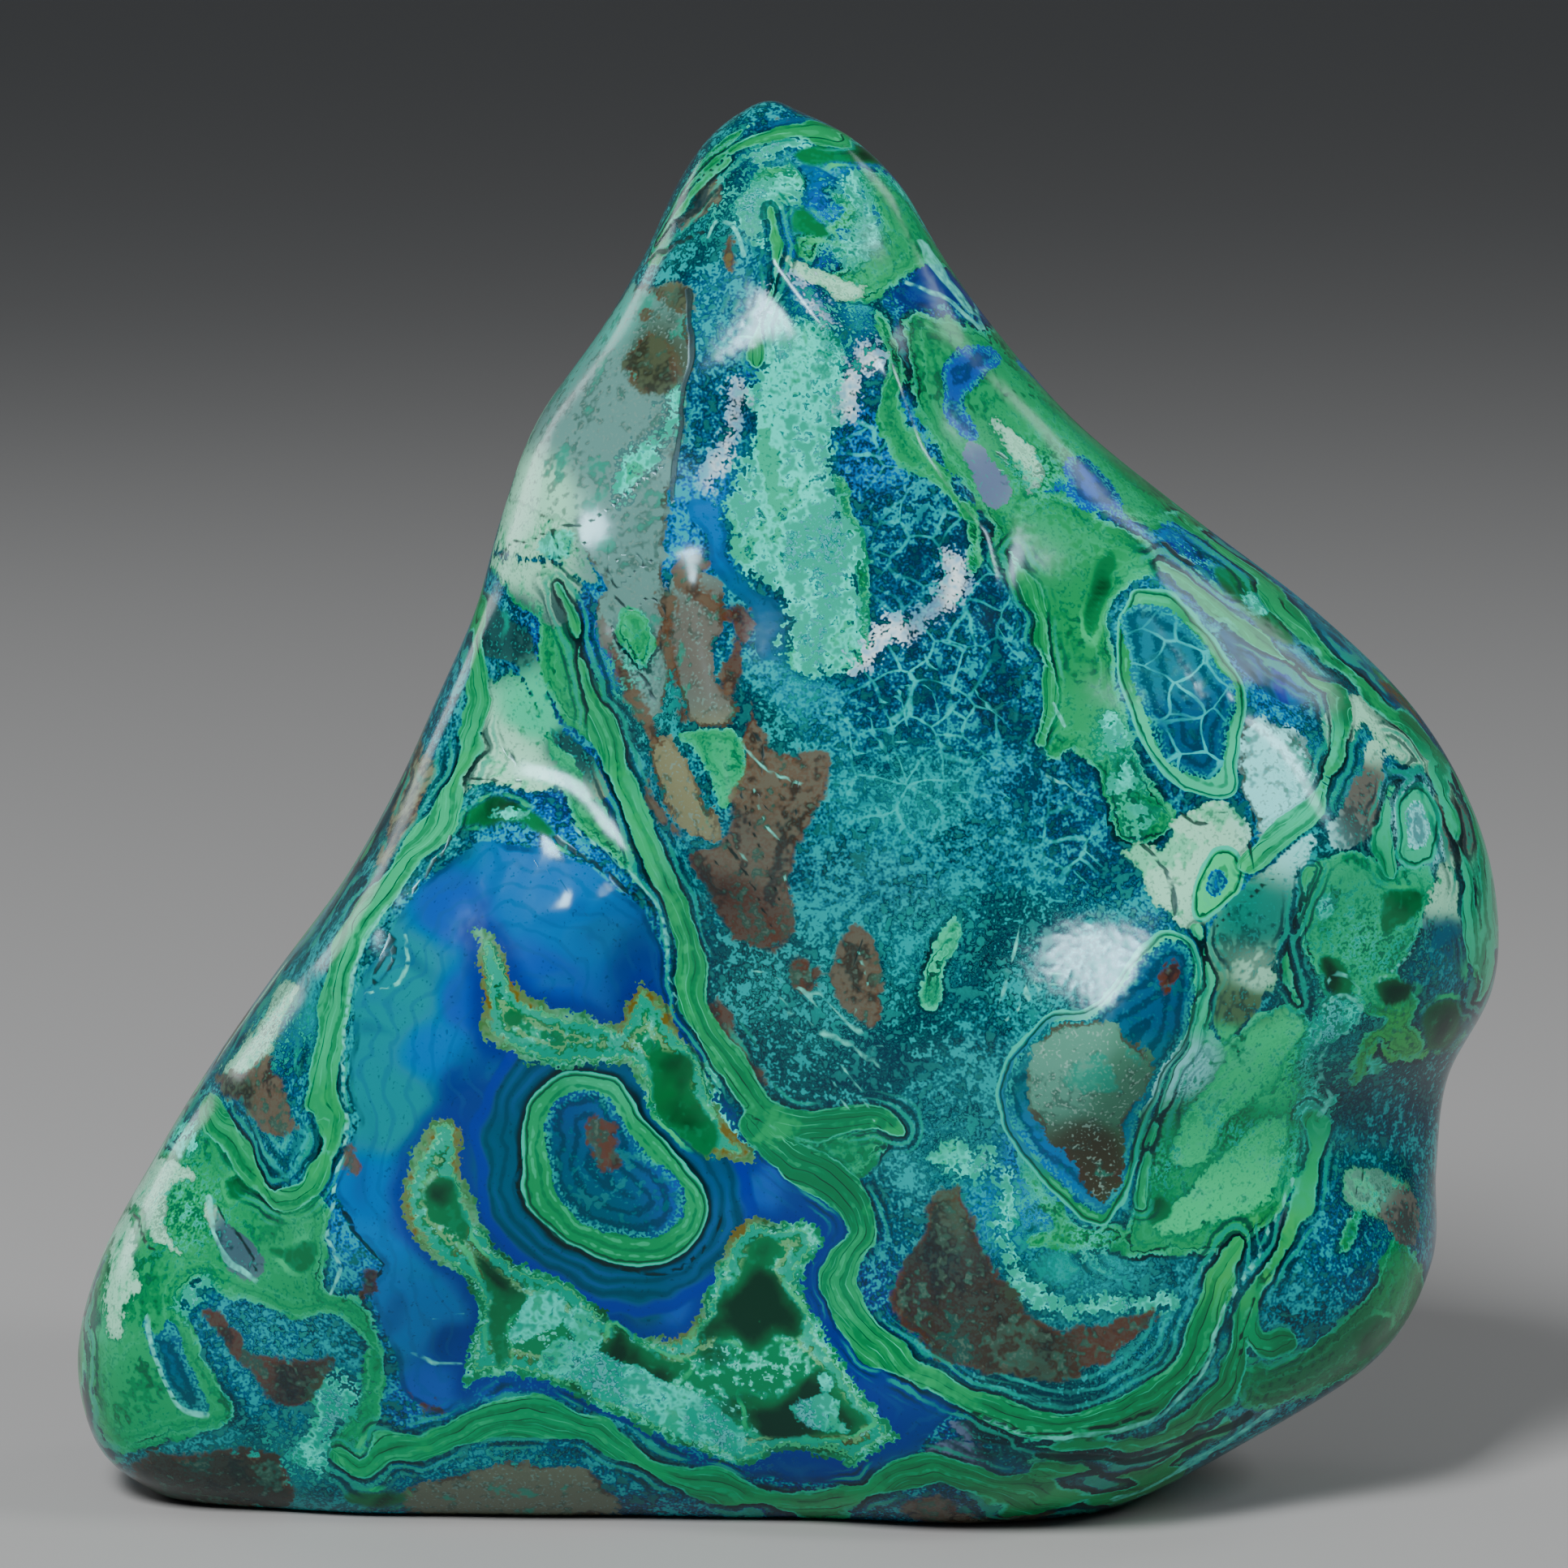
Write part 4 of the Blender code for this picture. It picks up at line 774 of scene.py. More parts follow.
# Tints at places on the front face: across, up, spread and mineral, for each family.
DARK_TINTS = [
    (-35, 42, 4, "sea azurite"), (-34.5, 33, 3.5, "sea azurite"), (-36, 25, 3, "sky azurite"),
    (-31, 38, 2.5, "sky azurite"), (-28.5, 50, 2, "azurite"), (-28, 42, 2, "azurite"),
    (-21, 52.5, 3, "sky azurite"), (-17, 49, 3.5, "sky azurite"), (-13, 46, 2.5, "deep azurite"),
    (-21, 44, 2.5, "azurite"), (-27, 34, 3, "deep azurite"), (-24.5, 29, 2, "smoke azurite"),
    (-32.5, 24, 1.5, "azurite"), (-33, 15, 3, "sky azurite"), (-29.5, 12, 1.6, "deep azurite"),
    (-31, 8, 2, "azurite"), (-24, 8, 2.5, "azurite"), (-20, 20, 2.5, "smoke azurite"),
    (-8, 16, 2.5, "azurite"), (-14, 16.5, 2.5, "smoke azurite"), (-4.5, 26, 2, "azurite"),
    (3, 23, 2, "deep azurite"), (6, 10, 3, "deep azurite"), (12, 6, 3, "deep azurite"),
    (3, 0, 3, "deep azurite"), (12, 69, 5, "prussian"), (18, 74, 4, "prussian"), (11, 60, 4, "teal"),
    (10, 54, 4, "lagoon"), (20, 61, 2.5, "sky"), (18, 56, 3, "lagoon"), (24, 56, 3.5, "prussian"),
    (20, 47, 4, "dark teal"), (12, 48, 4, "teal"), (8, 38, 5, "dark teal"), (13, 33, 4, "teal"),
    (3, 37, 3, "dark teal"), (-3, 44, 3, "dark teal"), (-2, 66, 3, "dark teal"), (1, 69, 3, "sky"),
    (3, 55, 3, "lagoon"), (27, 31, 4, "sky"), (22, 27, 3, "sky azurite"), (33, 42, 3, "prussian"),
    (34, 37, 3, "lagoon"), (-5, 103, 3, "prussian"), (-5, 98, 3, "prussian"), (-6, 92, 3, "prussian"),
    (-7, 84, 2.5, "sky azurite"), (-2, 75, 2.5, "prussian"), (6, 98, 3, "prussian"),
    (7, 90, 3, "sky azurite"), (11, 82, 4, "prussian"), (14, 79, 3, "prussian"), (32, 72, 4, "lagoon"),
    (34, 65, 4, "prussian"), (-29, 67, 3, "lagoon"), (-32, 58, 3, "teal"), (-44, 32, 4, "prussian"),
    (-45, 12, 5, "prussian"), (-38, 11, 3, "lagoon"), (-61, 12, 3, "teal"), (-52, 32, 3, "teal"),
    (28, 18, 4, "teal"), (32, 12, 4, "lagoon"), (22, 7, 4, "dark teal"), (50, 34, 2.5, "teal"),
    (54, 36, 2.5, "dark teal"), (52.5, 32, 2, "smoke azurite"), (44, 15, 3, "lagoon"),
    (48, 19, 3, "prussian"), (50, 47, 5, "dark teal"), (56, 45, 3, "lagoon"), (57, 41, 2.5, "teal"),
    (0, 112, 3, "prussian"), (3, 110, 3, "azurite"), (-8, 108, 4, "dark teal"), (12, 104, 3, "deep azurite"),
    (15, 95, 3, "azurite"), (26, 87, 3, "azurite"), (36, 79, 3, "sky azurite"), (41, 71, 3, "sky azurite"),
    (48, 72, 4, "lagoon"), (54, 66, 3, "prussian"), (-25, 2.5, 4, "prussian"), (-12, -2, 4, "prussian"),
    (10, -2, 4, "prussian"), (-50, 1, 5, "teal"), (37, 52.5, 2, "sky azurite"), (54, 57.4, 2, "ice"),
    (27, -1, 3, "smoke azurite"), (-16, 60, 2.5, "azurite"), (-13, 60, 2.5, "lagoon"), (-9, 52, 2, "teal"),
    (-18, 70, 2, "azurite"), (-13, 66, 2.5, "dark teal"), (18, 38, 3, "teal"), (-2.6, 96, 1.5, "azurite"),
]
LEAF_TINTS = [
    (-57, 8, 5, "malachite"), (-60, 13, 1.5, "mint"), (-43, 24, 3, "malachite"), (-37, 13, 3, "malachite"),
    (-8, 25, 3, "malachite"), (-13, 20, 3, "leaf"), (-21, 24, 3, "leaf"), (-22, 32, 3, "malachite"),
    (-17, 36, 2, "mint"), (-16, 66, 3, "malachite"), (-19, 73, 3, "malachite"), (-13, 57, 3, "mint"),
    (-9, 46, 4, "leaf"), (-4, 36, 3, "leaf"), (3, 28, 4, "emerald"), (5, 18, 3, "malachite"),
    (12, 9, 4, "leaf"), (24, 4, 5, "leaf"), (33, 8, 4, "leaf"), (48, 11, 5, "emerald"), (53, 18, 3, "leaf"),
    (42, 19, 3, "apple"), (45, 27, 2.5, "mint"), (25, 74, 5, "leaf"), (22, 67, 3, "malachite"),
    (9, 107, 4, "malachite"), (9, 92, 3, "malachite"), (16, 84, 3, "leaf"), (21, 93, 5, "malachite"),
    (29, 85, 3, "leaf"), (36, 30, 5, "malachite"), (35, 42, 3, "pale mint"), (-25, 5, 4, "malachite"),
    (0, -1, 5, "malachite"), (16, 0, 5, "leaf"), (49, 49, 5, "mint"), (41, 36, 2.5, "pale leaf"),
    (60, 50, 3, "pale mint"), (37, 52, 2, "pale leaf"), (54, 57, 2.5, "pale mint"), (31, 64, 3, "pale mint"),
    (30, 77, 2, "mint"), (38, 61, 2, "pale mint"), (-31, 56, 3, "mint"), (-38, 43, 4, "mint"),
    (-40, 30, 3, "malachite"), (-20, 62, 2.5, "mint"), (-15, 57, 2, "malachite"), (45, 62, 3, "pale mint"),
    (40, 74, 3, "malachite"), (50, 69, 3, "emerald"), (-8, 111, 4, "leaf"), (28, 58, 3, "malachite"),
    (41, 17, 1.5, "malachite"), (40.4, 13.4, 1.5, "malachite"), (13, 46, 2.5, "pale mint"),
    (52, 39, 2, "apple"), (23, 22, 3, "leaf"), (19, 33, 3, "sky"), (33, 36, 3, "ice"),
]
PALE_TINTS = [
    (-15, 92, 6, "celadon"), (-11, 97, 2.5, "umber grey"), (-20, 97, 3, "aqua grey"), (-14, 82, 4, "celadon"),
    # the cream at (-22, 86) and (-23, 82) is partly a painted highlight on the ridge
    (-17, 101, 3, "aqua grey"), (-22, 86, 3, "cream"), (-23, 82, 4, "cream"), (-25, 63, 3, "cream"),
    (-22, 67, 2, "pale mint"), (42, 61, 4, "ice"), (35, 56, 4, "cream"), (31, 55, 3, "cream"),
    (40, 36, 4, "pale leaf"), (37, 27, 4, "pale leaf"), (-56, 22, 4, "cream"), (-9, 61, 3, "khaki grey"),
    (24, 37, 3, "sage"), (28.5, 35, 2.5, "sage umber"), (26, 28, 2.5, "umber"), (-25, -1, 4, "stone grey"),
    (-25, 75, 3, "slate"), (-18.4, 64, 1.5, "slate"), (39.5, 50, 2.5, "sea slate"), (39, 41.5, 2.2, "olive"),
    (49, 61, 3, "brown grey"), (-47.5, 21, 2, "purple grey"), (17.5, 88, 2, "lilac"), (14, 2.4, 1, "lilac"),
    (22, 0.5, 1.6, "slate blue"), (23, 1.3, 0.8, "pale leaf"), (25, 3.1, 1.2, "ink"), (18, 4.2, 1, "ink"),
    # the brown grey at (-8, 73) is partly a painted sheen on the ridge
    (30, 2.7, 1.2, "ink"), (-8, 73, 3, "brown grey"), (20, 90, 2, "cream"), (3, 104, 3, "cream"),
    # the cream at (-45, 39) and the pale tints along the right edge, at (59.6, 52), (60, 46) and (55.4, 62),
    # are partly a painted highlight
    (-45, 39, 4, "cream"), (59.6, 52, 2, "pale mint"), (60, 46, 2, "pale leaf"), (55.4, 62, 1.6, "cream"),
    (50.5, 25.4, 1.5, "sage"), (43, 22.4, 1, "purple grey"), (-13, 72, 3, "celadon"), (50, 65, 3, "cream"),
    (56.5, 52, 2, "cream"), (56.6, 47, 2, "slate blue"), (57, 57, 2, "brown grey"), (53, 23, 2, "brown grey"),
    (40, 44.4, 1.5, "cream"),
]
BROWN_TINTS = [
    (-13.6, 69.6, 2, "tan"), (-15.4, 73, 1.5, "brown grey"), (-11.4, 65.4, 1.5, "tan"), (12, 17, 4, "bark"),
    (20, 12, 4, "bark"), (29, 12.5, 3, "rust"), (14, 24, 2, "moss brown"), (-1, 60, 4, "tan"),
    (-2, 54, 3, "tan"), (-4, 50, 3, "rust"), (-15.5, 30, 2, "chestnut"), (-46, 11, 3, "rust"),
    (-42, 9, 3, "bark"), (-44, 34, 3, "tan"), (-47, 34, 2, "moss brown"), (6, 44, 2, "tan"),
    (1, 44, 2, "rust"), (33, 44, 2, "rust"), (-4, 38, 2, "rust"), (-11, 97, 3, "moss brown"),
    (-5, 106, 2, "gold brown"), (-8, 78, 3, "tan"), (-4, 74, 3, "rust"), (-9, 70, 3, "tan"),
    # the khaki grey at (-32, 60) is lightened partly as a painted highlight on the left edge
    (-50, 0, 5, "bark"), (16, -3, 4, "tan"), (-32, 60, 3, "khaki grey"), (0, 118, 2, "tan"),
    (-8, 111, 3, "stone grey"), (52, 69, 3, "gold brown"), (29, 36, 3, "bark"),
]
# Where the chrysocolla is crazed into plates: across, up, spread.
CRAZED = [
    (12, 68, 7), (9, 62, 5), (16, 76, 4), (8, 90, 3), (12, 82, 4), (33, 70, 5), (34, 64, 4), (24, 56, 3),
]
# Where the polish shows a cloud of fine cyan grains: across, up, spread.
GRAINED = [
    (12, 48, 6), (22, 44, 5), (5, 42, 5), (14, 30, 5), (20, 23, 4), (28, 19, 4), (30, 11, 4), (-15, 27, 4),
    (-45, 12, 6), (-44, 31, 2.5), (10, 60, 5), (1, 69, 3), (33, 70, 5), (49, 40, 4), (-5, 100, 3),
    (-12, 68, 3), (-25, 2.5, 5), (-2, 43, 3), (27, 47, 6),
]
# Where pale and dark grains are sprinkled over the greens: across, up, spread.
SPECKLED = [
    (31, 28, 3), (33, 34, 3), (45, 36, 3), (44.4, 29, 3), (38.4, 31, 2.4), (26, 21, 3), (22, 24, 3),
    (47, 42, 3), (-45, 1, 4), (-44, 40, 4), (4, 100, 4), (-36, 1, 3), (38, 15, 2.4), (52, 24, 3),
    (-14, 70, 3), (22, 88, 3), (35, 80, 3), (50, 47, 5), (-24, 5, 3), (-6, 6, 4), (-52, 24, 4), (-7, 112, 4),
    (4, 108, 4), (46, 62, 3),
]
# Where the green figures have a gold rim: across, up, spread.
GILDED = [(-28, 30, 5), (-32, 24, 5), (-5, 22, 3.5), (-9, 13, 3), (-25, 43, 6), (-12, 41, 5), (-5, 30, 4)]
# Where the dark hearts are lighter and mossy: across, up, spread.
MOSSY = [(-9.5, 34, 3.5), (-22, 40.6, 2), (4, 3.6, 1.6)]
# Where the ground is drawn out in arcs alongside a seam: across, up, spread.
SWEPT = [
    (12, 12, 3.5), (20, 8, 4), (29, 8, 4), (33, 13, 3.5), (25, 18.4, 3.6), (21, 22, 2.4), (-44, 29, 3),
    (-33, 60, 3),
]
OUTLINES = {
    "grey": GREY, "blue": BLUE, "green": GREEN, "turquoise": TURQUOISE, "pale": PALE, "slate": SLATE,
    "gold": GOLD, "dark": DARK, "isle": ISLE, "ring": RING, "core": CORE, "brown": BROWN, "frost": FROST_AND_SHEEN,
}
PLACES = {
    "crazed": CRAZED, "grained": GRAINED, "gilded": GILDED, "speckled": SPECKLED, "swept": SWEPT,
    "mossy": MOSSY,
}
PATHS = {"seam": SEAMS, "vein": VEINS, "crackle": CRACKLE, "crack": CRACKS}
TINTS = {"dark_tint": DARK_TINTS, "leaf_tint": LEAF_TINTS, "pale_tint": PALE_TINTS, "brown_tint": BROWN_TINTS}


def linear(colour):
    """The deep, saturated body colour of a mineral that looks like this colour under a soft light."""
    part = np.array(colour) / 255
    light = np.where(part < 0.04, part / 12.92, ((part + 0.055) / 1.055) ** 2.4)
    grey = light @ (0.3, 0.6, 0.1)
    return np.clip((BODY + LIFT * grey * grey) * (grey + DEPTH * (light - grey)), 0.0, BRIGHTEST)


def smooth_path(corners, closed):
    """A smooth curve through the corners of an outline or a path."""
    corners = np.array(corners, float)
    if closed:
        knots = np.vstack([corners[-1:], corners, corners[:2]])
    else:
        knots = np.vstack([2 * corners[0] - corners[1], corners, 2 * corners[-1] - corners[-2]])
    share = np.linspace(0, 1, CURVE_STEPS, endpoint=False)[:, None, None]
    curve = smooth_between(*(knots[k : len(knots) - 3 + k][None] for k in range(4)), share)
    curve = curve.transpose(1, 0, 2).reshape(-1, 2)
    return np.vstack([curve, curve[:1] if closed else corners[-1:]])


def curve_distance(chart, curve, closed):
    """Distance of each chart point from a curve, negative inside a closed one."""
    nearest = np.full(len(chart), np.inf)
    inside = np.zeros(len(chart), bool)
    for start, end, offset, gap in along_runs(chart, curve):
        nearest = np.minimum(nearest, np.einsum("ij,ij->i", gap, gap))
        if closed and start[1] != end[1]:
            run = end - start
            spans = (start[1] > chart[:, 1]) != (end[1] > chart[:, 1])
            inside ^= spans & (offset[:, 0] < run[0] * offset[:, 1] / run[1])
    return np.sqrt(nearest) * np.where(inside, -1, 1)


def near(chart, curve):
    """Which chart points are near enough to a curve to need its distance."""
    return np.all((chart > curve.min(0) - FAR) & (chart < curve.max(0) + FAR), axis=1)


def outline_distance(chart, outlines):
    """Signed distance of each chart point from the nearest of some closed outlines."""
    distance = np.full(len(chart), FAR)
    for corners in outlines:
        curve = smooth_path(corners, True)
        close = near(chart, curve)
        distance[close] = np.minimum(distance[close], curve_distance(chart[close], curve, True))
    return distance


def path_distance(chart, paths):
    """Distance of each chart point from the edge of the nearest path."""
    distance = np.full(len(chart), FAR)
    for half_width, corners in paths:
        curve = smooth_path(corners, False)
        close = near(chart, curve)
        distance[close] = np.minimum(distance[close], curve_distance(chart[close], curve, False) - half_width)
    return distance


def path_side(chart, paths):
    """How far each chart point lies to the left or right of the middle of the paths near it."""
    total = np.zeros(len(chart))
    weight = np.full(len(chart), 1e-6)
    for _, corners in paths:
        curve = smooth_path(corners, False)
        close = near(chart, curve)
        points = chart[close]
        nearest = np.full(len(points), np.inf)
        side = np.zeros(len(points))
        for start, end, offset, gap in along_runs(points, curve):
            run = end - start
            squared = np.einsum("ij,ij->i", gap, gap)
            turn = np.sign(run[0] * offset[:, 1] - run[1] * offset[:, 0])
            side = np.where(squared < nearest, turn, side)
            nearest = np.minimum(nearest, squared)
        share = np.exp(-nearest / SIDE_BLEND)
        total[close] += share * side * np.sqrt(nearest)
        weight[close] += share
    return total / weight


def spread_tints(chart, tints):
    """A soft blend of tints over the face, each strongest near its own place."""
    total = np.zeros((len(chart), 3))
    weight = np.full((len(chart), 1), 1e-12)
    for across, up, spread, mineral in tints:
        gap = ((chart - (across, up)) ** 2).sum(1)[:, None] / spread**2
        share = 1 / (TINT_HEART + gap) ** TINT_FALL
        total += share * linear(MINERALS[mineral])
        weight += share
    return total / weight


def spread_places(chart, places):
    """How strongly each chart point belongs to some places, from 0 to 1."""
    return np.max([np.exp(-((chart - (a, u)) ** 2).sum(1) / s**2) for a, u, s in places], axis=0)


def swirl(points, reach, span, seed):
    """A slow wavy shift of each point, from Perlin noise."""
    shift = [noise.noise_vector(Vector(point) / span + Vector((seed, 0, 0))) for point in points]
    return reach * np.array(shift)[:, [0, 2]]


def cloud(points, stretch, span, octaves, seed, warp):
    """Perlin noise at each point, summed over octaves."""
    at = points * stretch / span + (seed, 2 * seed, 0)
    if warp:
        bend = [noise.noise_vector(Vector(point) * WARP_SCALE) for point in at]
        at = at + warp * np.array(bend)
    total = np.zeros(len(points))
    for octave in range(octaves):
        total += np.array([noise.noise(Vector(point)) for point in at * 2.0**octave]) / CLOUD_FALL**octave
    return total * CLOUD_SPREAD / total.std()


def chart_of(points):
    """Where each point of the stone lies on the chart that the outlines are drawn on."""
    share = -EYE[1] / (points[:, 1] - EYE[1])
    chart = (EYE + (points - EYE) * share[:, None])[:, [0, 2]]
    depth = np.maximum(points[:, 1] - TURN_START, 0)
    depth = depth * depth / (depth + TURN_EASE)
    angle = np.radians(TWIST) * depth
    arm = chart - TURN_CENTRE
    turned = np.stack([
        arm[:, 0] * np.cos(angle) - arm[:, 1] * np.sin(angle),
        arm[:, 0] * np.sin(angle) + arm[:, 1] * np.cos(angle),
    ], 1)
    chart = TURN_CENTRE + turned + swirl(points, *DEEP_SWIRL) * np.minimum(depth, DEEPEST)[:, None]
    return chart + swirl(points, *WIDE_SWIRL) + swirl(points, *TIGHT_SWIRL)


def store(mesh, name, kind, field, values):
    """Stores one value of some kind on every vertex of the mesh."""
    attribute = mesh.attributes.new(name, kind, "POINT")
    attribute.data.foreach_set(field, values.astype(np.float32).ravel())


def mark(mesh, points):
    """Stores on the mesh how far each vertex is from every kind of marking, and its tints."""
    noise.seed_set(NOISE_SEED)
    chart = chart_of(points)
    for name, outlines in OUTLINES.items():
        store(mesh, name, "FLOAT", "value", outline_distance(chart, outlines))
    for name, places in PLACES.items():
        store(mesh, name, "FLOAT", "value", spread_places(chart, places))
    for name, settings in CLOUDS.items():
        store(mesh, name, "FLOAT", "value", cloud(points, *settings))
    for name, paths in PATHS.items():
        store(mesh, name, "FLOAT", "value", path_distance(chart, paths))
    store(mesh, "side", "FLOAT", "value", path_side(chart, SEAMS))
    bend = np.array([noise.noise_vector(Vector(point) / CRAZE_BEND_SPAN) for point in points])
    store(mesh, "bent", "FLOAT_VECTOR", "vector", (points + CRAZE_BEND * bend) * MM)
    for name, tints in TINTS.items():
        colours = np.hstack([spread_tints(chart, tints), np.ones((len(chart), 1))])
        store(mesh, name, "FLOAT_COLOR", "color", colours)


# ---------------------------------------------------------------- material


class Flow:
    """A value that flows through a material's nodes, so that shader maths reads as plain sums."""

    def __init__(self, tree, socket):
        self.tree = tree
        self.socket = socket

    def maths(self, operation, *values):
        """One Math node on these values."""
        return add_node(self.tree, "ShaderNodeMath", {"operation": operation}, dict(enumerate(values)))

    def __add__(self, other):
        return self.maths("ADD", self, other)

    __radd__ = __add__

    def __sub__(self, other):
        return self.maths("SUBTRACT", self, other)

    def __rsub__(self, other):
        return self.maths("SUBTRACT", other, self)

    def __mul__(self, other):
        return self.maths("MULTIPLY", self, other)

    __rmul__ = __mul__

    def __neg__(self):
        return self.maths("MULTIPLY", self, -1.0)

    def __abs__(self):
        return self.maths("ABSOLUTE", self)

    def sine(self):
        return self.maths("SINE", self)

    def most(self, other):
        """The greater of this value and another."""
        return self.maths("MAXIMUM", self, other)

    def rise(self, low, high):
        """0 below low and 1 above high, with a smooth step between. It falls where low is the higher."""
        sockets = {"Value": self, "From Min": low, "From Max": high}
        return add_node(self.tree, "ShaderNodeMapRange", {"interpolation_type": "SMOOTHSTEP"}, sockets)

    def band(self, centre, half, soft):
        """1 on a stripe round centre, and 0 away from it."""
        return abs(self - centre).rise(half + soft, half)

    def blend(self, first, second):
        """The first colour where this value is 0, and the second where it is 1."""
        sockets = {0: self, 6: first, 7: second}
        return add_node(self.tree, "ShaderNodeMix", {"data_type": "RGBA"}, sockets, output=2)

    def tinted(self, other, share):
        """This colour, mixed with another by a share from 0 to 1."""
        return share.blend(self, other)


def add_node(tree, kind, settings, sockets, output=0):
    """Adds one node: its settings first, then the values or links of its sockets."""
    node = tree.nodes.new(kind)
    for name, value in settings.items():
        setattr(node, name, value)
    for key, value in sockets.items():
        if isinstance(value, Flow):
            tree.links.new(value.socket, node.inputs[key])
        else:
            node.inputs[key].default_value = value
    return Flow(tree, node.outputs[output] if node.outputs else None)


def paint(red, green, blue):
    """A screen colour as the four numbers of a colour socket."""
    return (*(float(part) for part in linear((red, green, blue))), 1.0)


class Rock:
    """What all the minerals of the stone share: its grains and clouds, and the readings off its mesh."""

    def __init__(self, tree):
        self.tree = tree
        self.place = add_node(tree, "ShaderNodeTexCoord", {}, {}, output=3)
        self.broad, self.middling, self.marble, self.streaky = (self.reading(name) for name in CLOUDS)
        self.small = self.grain(SMALL_GRAIN, 1.0, 0.6)
        self.fine = self.grain(FINE_GRAIN, 0.0, 0.6)
        self.coarse = self.small + self.middling * 0.7
        self.flecks = self.small + self.fine * 0.6
        self.dust = self.small + self.fine * 0.8 + self.middling * 0.4
        tints = (self.reading(name, 0) for name in TINTS)
        self.dark_tint, self.leaf_tint, self.pale_tint, self.brown_tint = tints

    def reading(self, name, output=2):
        """A number stored on the mesh, or its colour (output 0) or vector (output 1)."""
        return add_node(self.tree, "ShaderNodeAttribute", {"attribute_name": name}, {}, output)

    def grain(self, scale, detail, rough):
        """Even noise about 0 with a spread of about a tenth."""
        sockets = {"Vector": self.place, "Scale": scale, "Detail": detail, "Roughness": rough}
        return add_node(self.tree, "ShaderNodeTexNoise", {}, sockets) - 0.5

    def plates(self, scale):
        """Distance from the edges of the plates that crazing cuts the rock into."""
        sockets = {"Vector": self.reading("bent", 1), "Scale": scale}
        return add_node(self.tree, "ShaderNodeTexVoronoi", {"feature": "DISTANCE_TO_EDGE"}, sockets)

    def ragged(self, name, by_middling, by_small, by_fine=0.0):
        """The distance from a kind of marking, with a ragged edge."""
        found = self.reading(name) + self.middling * by_middling + self.small * by_small
        return found + self.fine * by_fine if by_fine else found


def chrysocolla(rock):
    """The ground: swirled, splashed with turquoise and crazed. Its crazing and its specks come with it."""
    broad, middling, marble, small, fine = rock.broad, rock.middling, rock.marble, rock.small, rock.fine
    grained = rock.reading("grained")
    crazed = rock.reading("crazed")
    swept = rock.reading("swept")
    pool = marble * 0.7 + middling * 0.5 + rock.flecks
    light = -marble * 0.6 - middling * 0.4 - rock.flecks
    ground = rock.dark_tint.tinted(paint(0, 46, 70), pool.rise(-0.04, 0.16) * 0.88)
    ground = ground.tinted(paint(0, 190, 190), light.rise(0.03, 0.2) * 0.75)
    ground = ground.tinted(paint(0, 30, 46), (rock.flecks - broad * 0.7).rise(0.1, 0.26) * 0.7)
    splash = (middling * 0.8 + small * 1.3 + grained * 0.06 - 0.05).rise(0.1, 0.22) * (0.25 + grained * 0.35)
    splash = splash * (1.0 - crazed * 0.7)
    ground = ground.tinted(paint(0, 184, 172), splash)
    arcs = (rock.reading("seam") * 5.0 + marble * 6.0 + small * 2.0).sine()
    ground = ground.tinted(paint(0, 52, 66), arcs.rise(0.1, 0.9) * swept * 0.75)
    ground = ground.tinted(paint(0, 196, 178), (-arcs).rise(0.3, 1.0) * swept * 0.7)
    threads = abs(small + middling * 0.4 + fine * 0.3).rise(0.03, 0.006) * grained
    ground = ground.tinted(paint(0, 178, 168), threads * 0.55)
    specks = (fine * 1.1 + small * 0.9 + grained * 0.04).rise(0.19, 0.3) * (0.12 + grained * 0.34)
    ground = ground.tinted(paint(40, 208, 200), specks)
    cells = rock.plates(PLATES) + small * 0.07
    lines = cells.rise(0.055, 0.01) * (crazed * (0.85 - middling * 4.0))
    craze = lines.most(rock.ragged("crackle", 0.16, 0.2).rise(0.04, -0.08) * (0.7 + small * 2.0))
    ground = ground.tinted(paint(0, 48, 84), cells.rise(0.2, 0.42) * crazed * 0.75)
    ground = ground.tinted(paint(10, 208, 202), craze)
    return ground, craze, specks.most(splash)


def celadon(rock):
    """Celadon grey, stained at its rim, and its distance."""
    middling, marble, small, fine = rock.middling, rock.marble, rock.small, rock.fine
    grey = rock.ragged("grey", 1.4, 1.2, 0.6)
    stone = rock.pale_tint.tinted(paint(58, 84, 74), (rock.coarse + rock.broad * 0.3).rise(0.02, 0.2) * 0.6)
    stone = stone.tinted(paint(176, 214, 200), (fine + small * 0.6).rise(0.1, 0.28) * 0.35)
    stone = stone.tinted(paint(0, 176, 150), (middling + small * 0.5 - marble * 0.4).rise(0.12, 0.26) * 0.6)
    stone = stone.tinted(paint(76, 56, 42), grey.band(-0.15, 0.1, 0.26) * middling.rise(-0.1, 0.1) * 0.8)
    return stone, grey


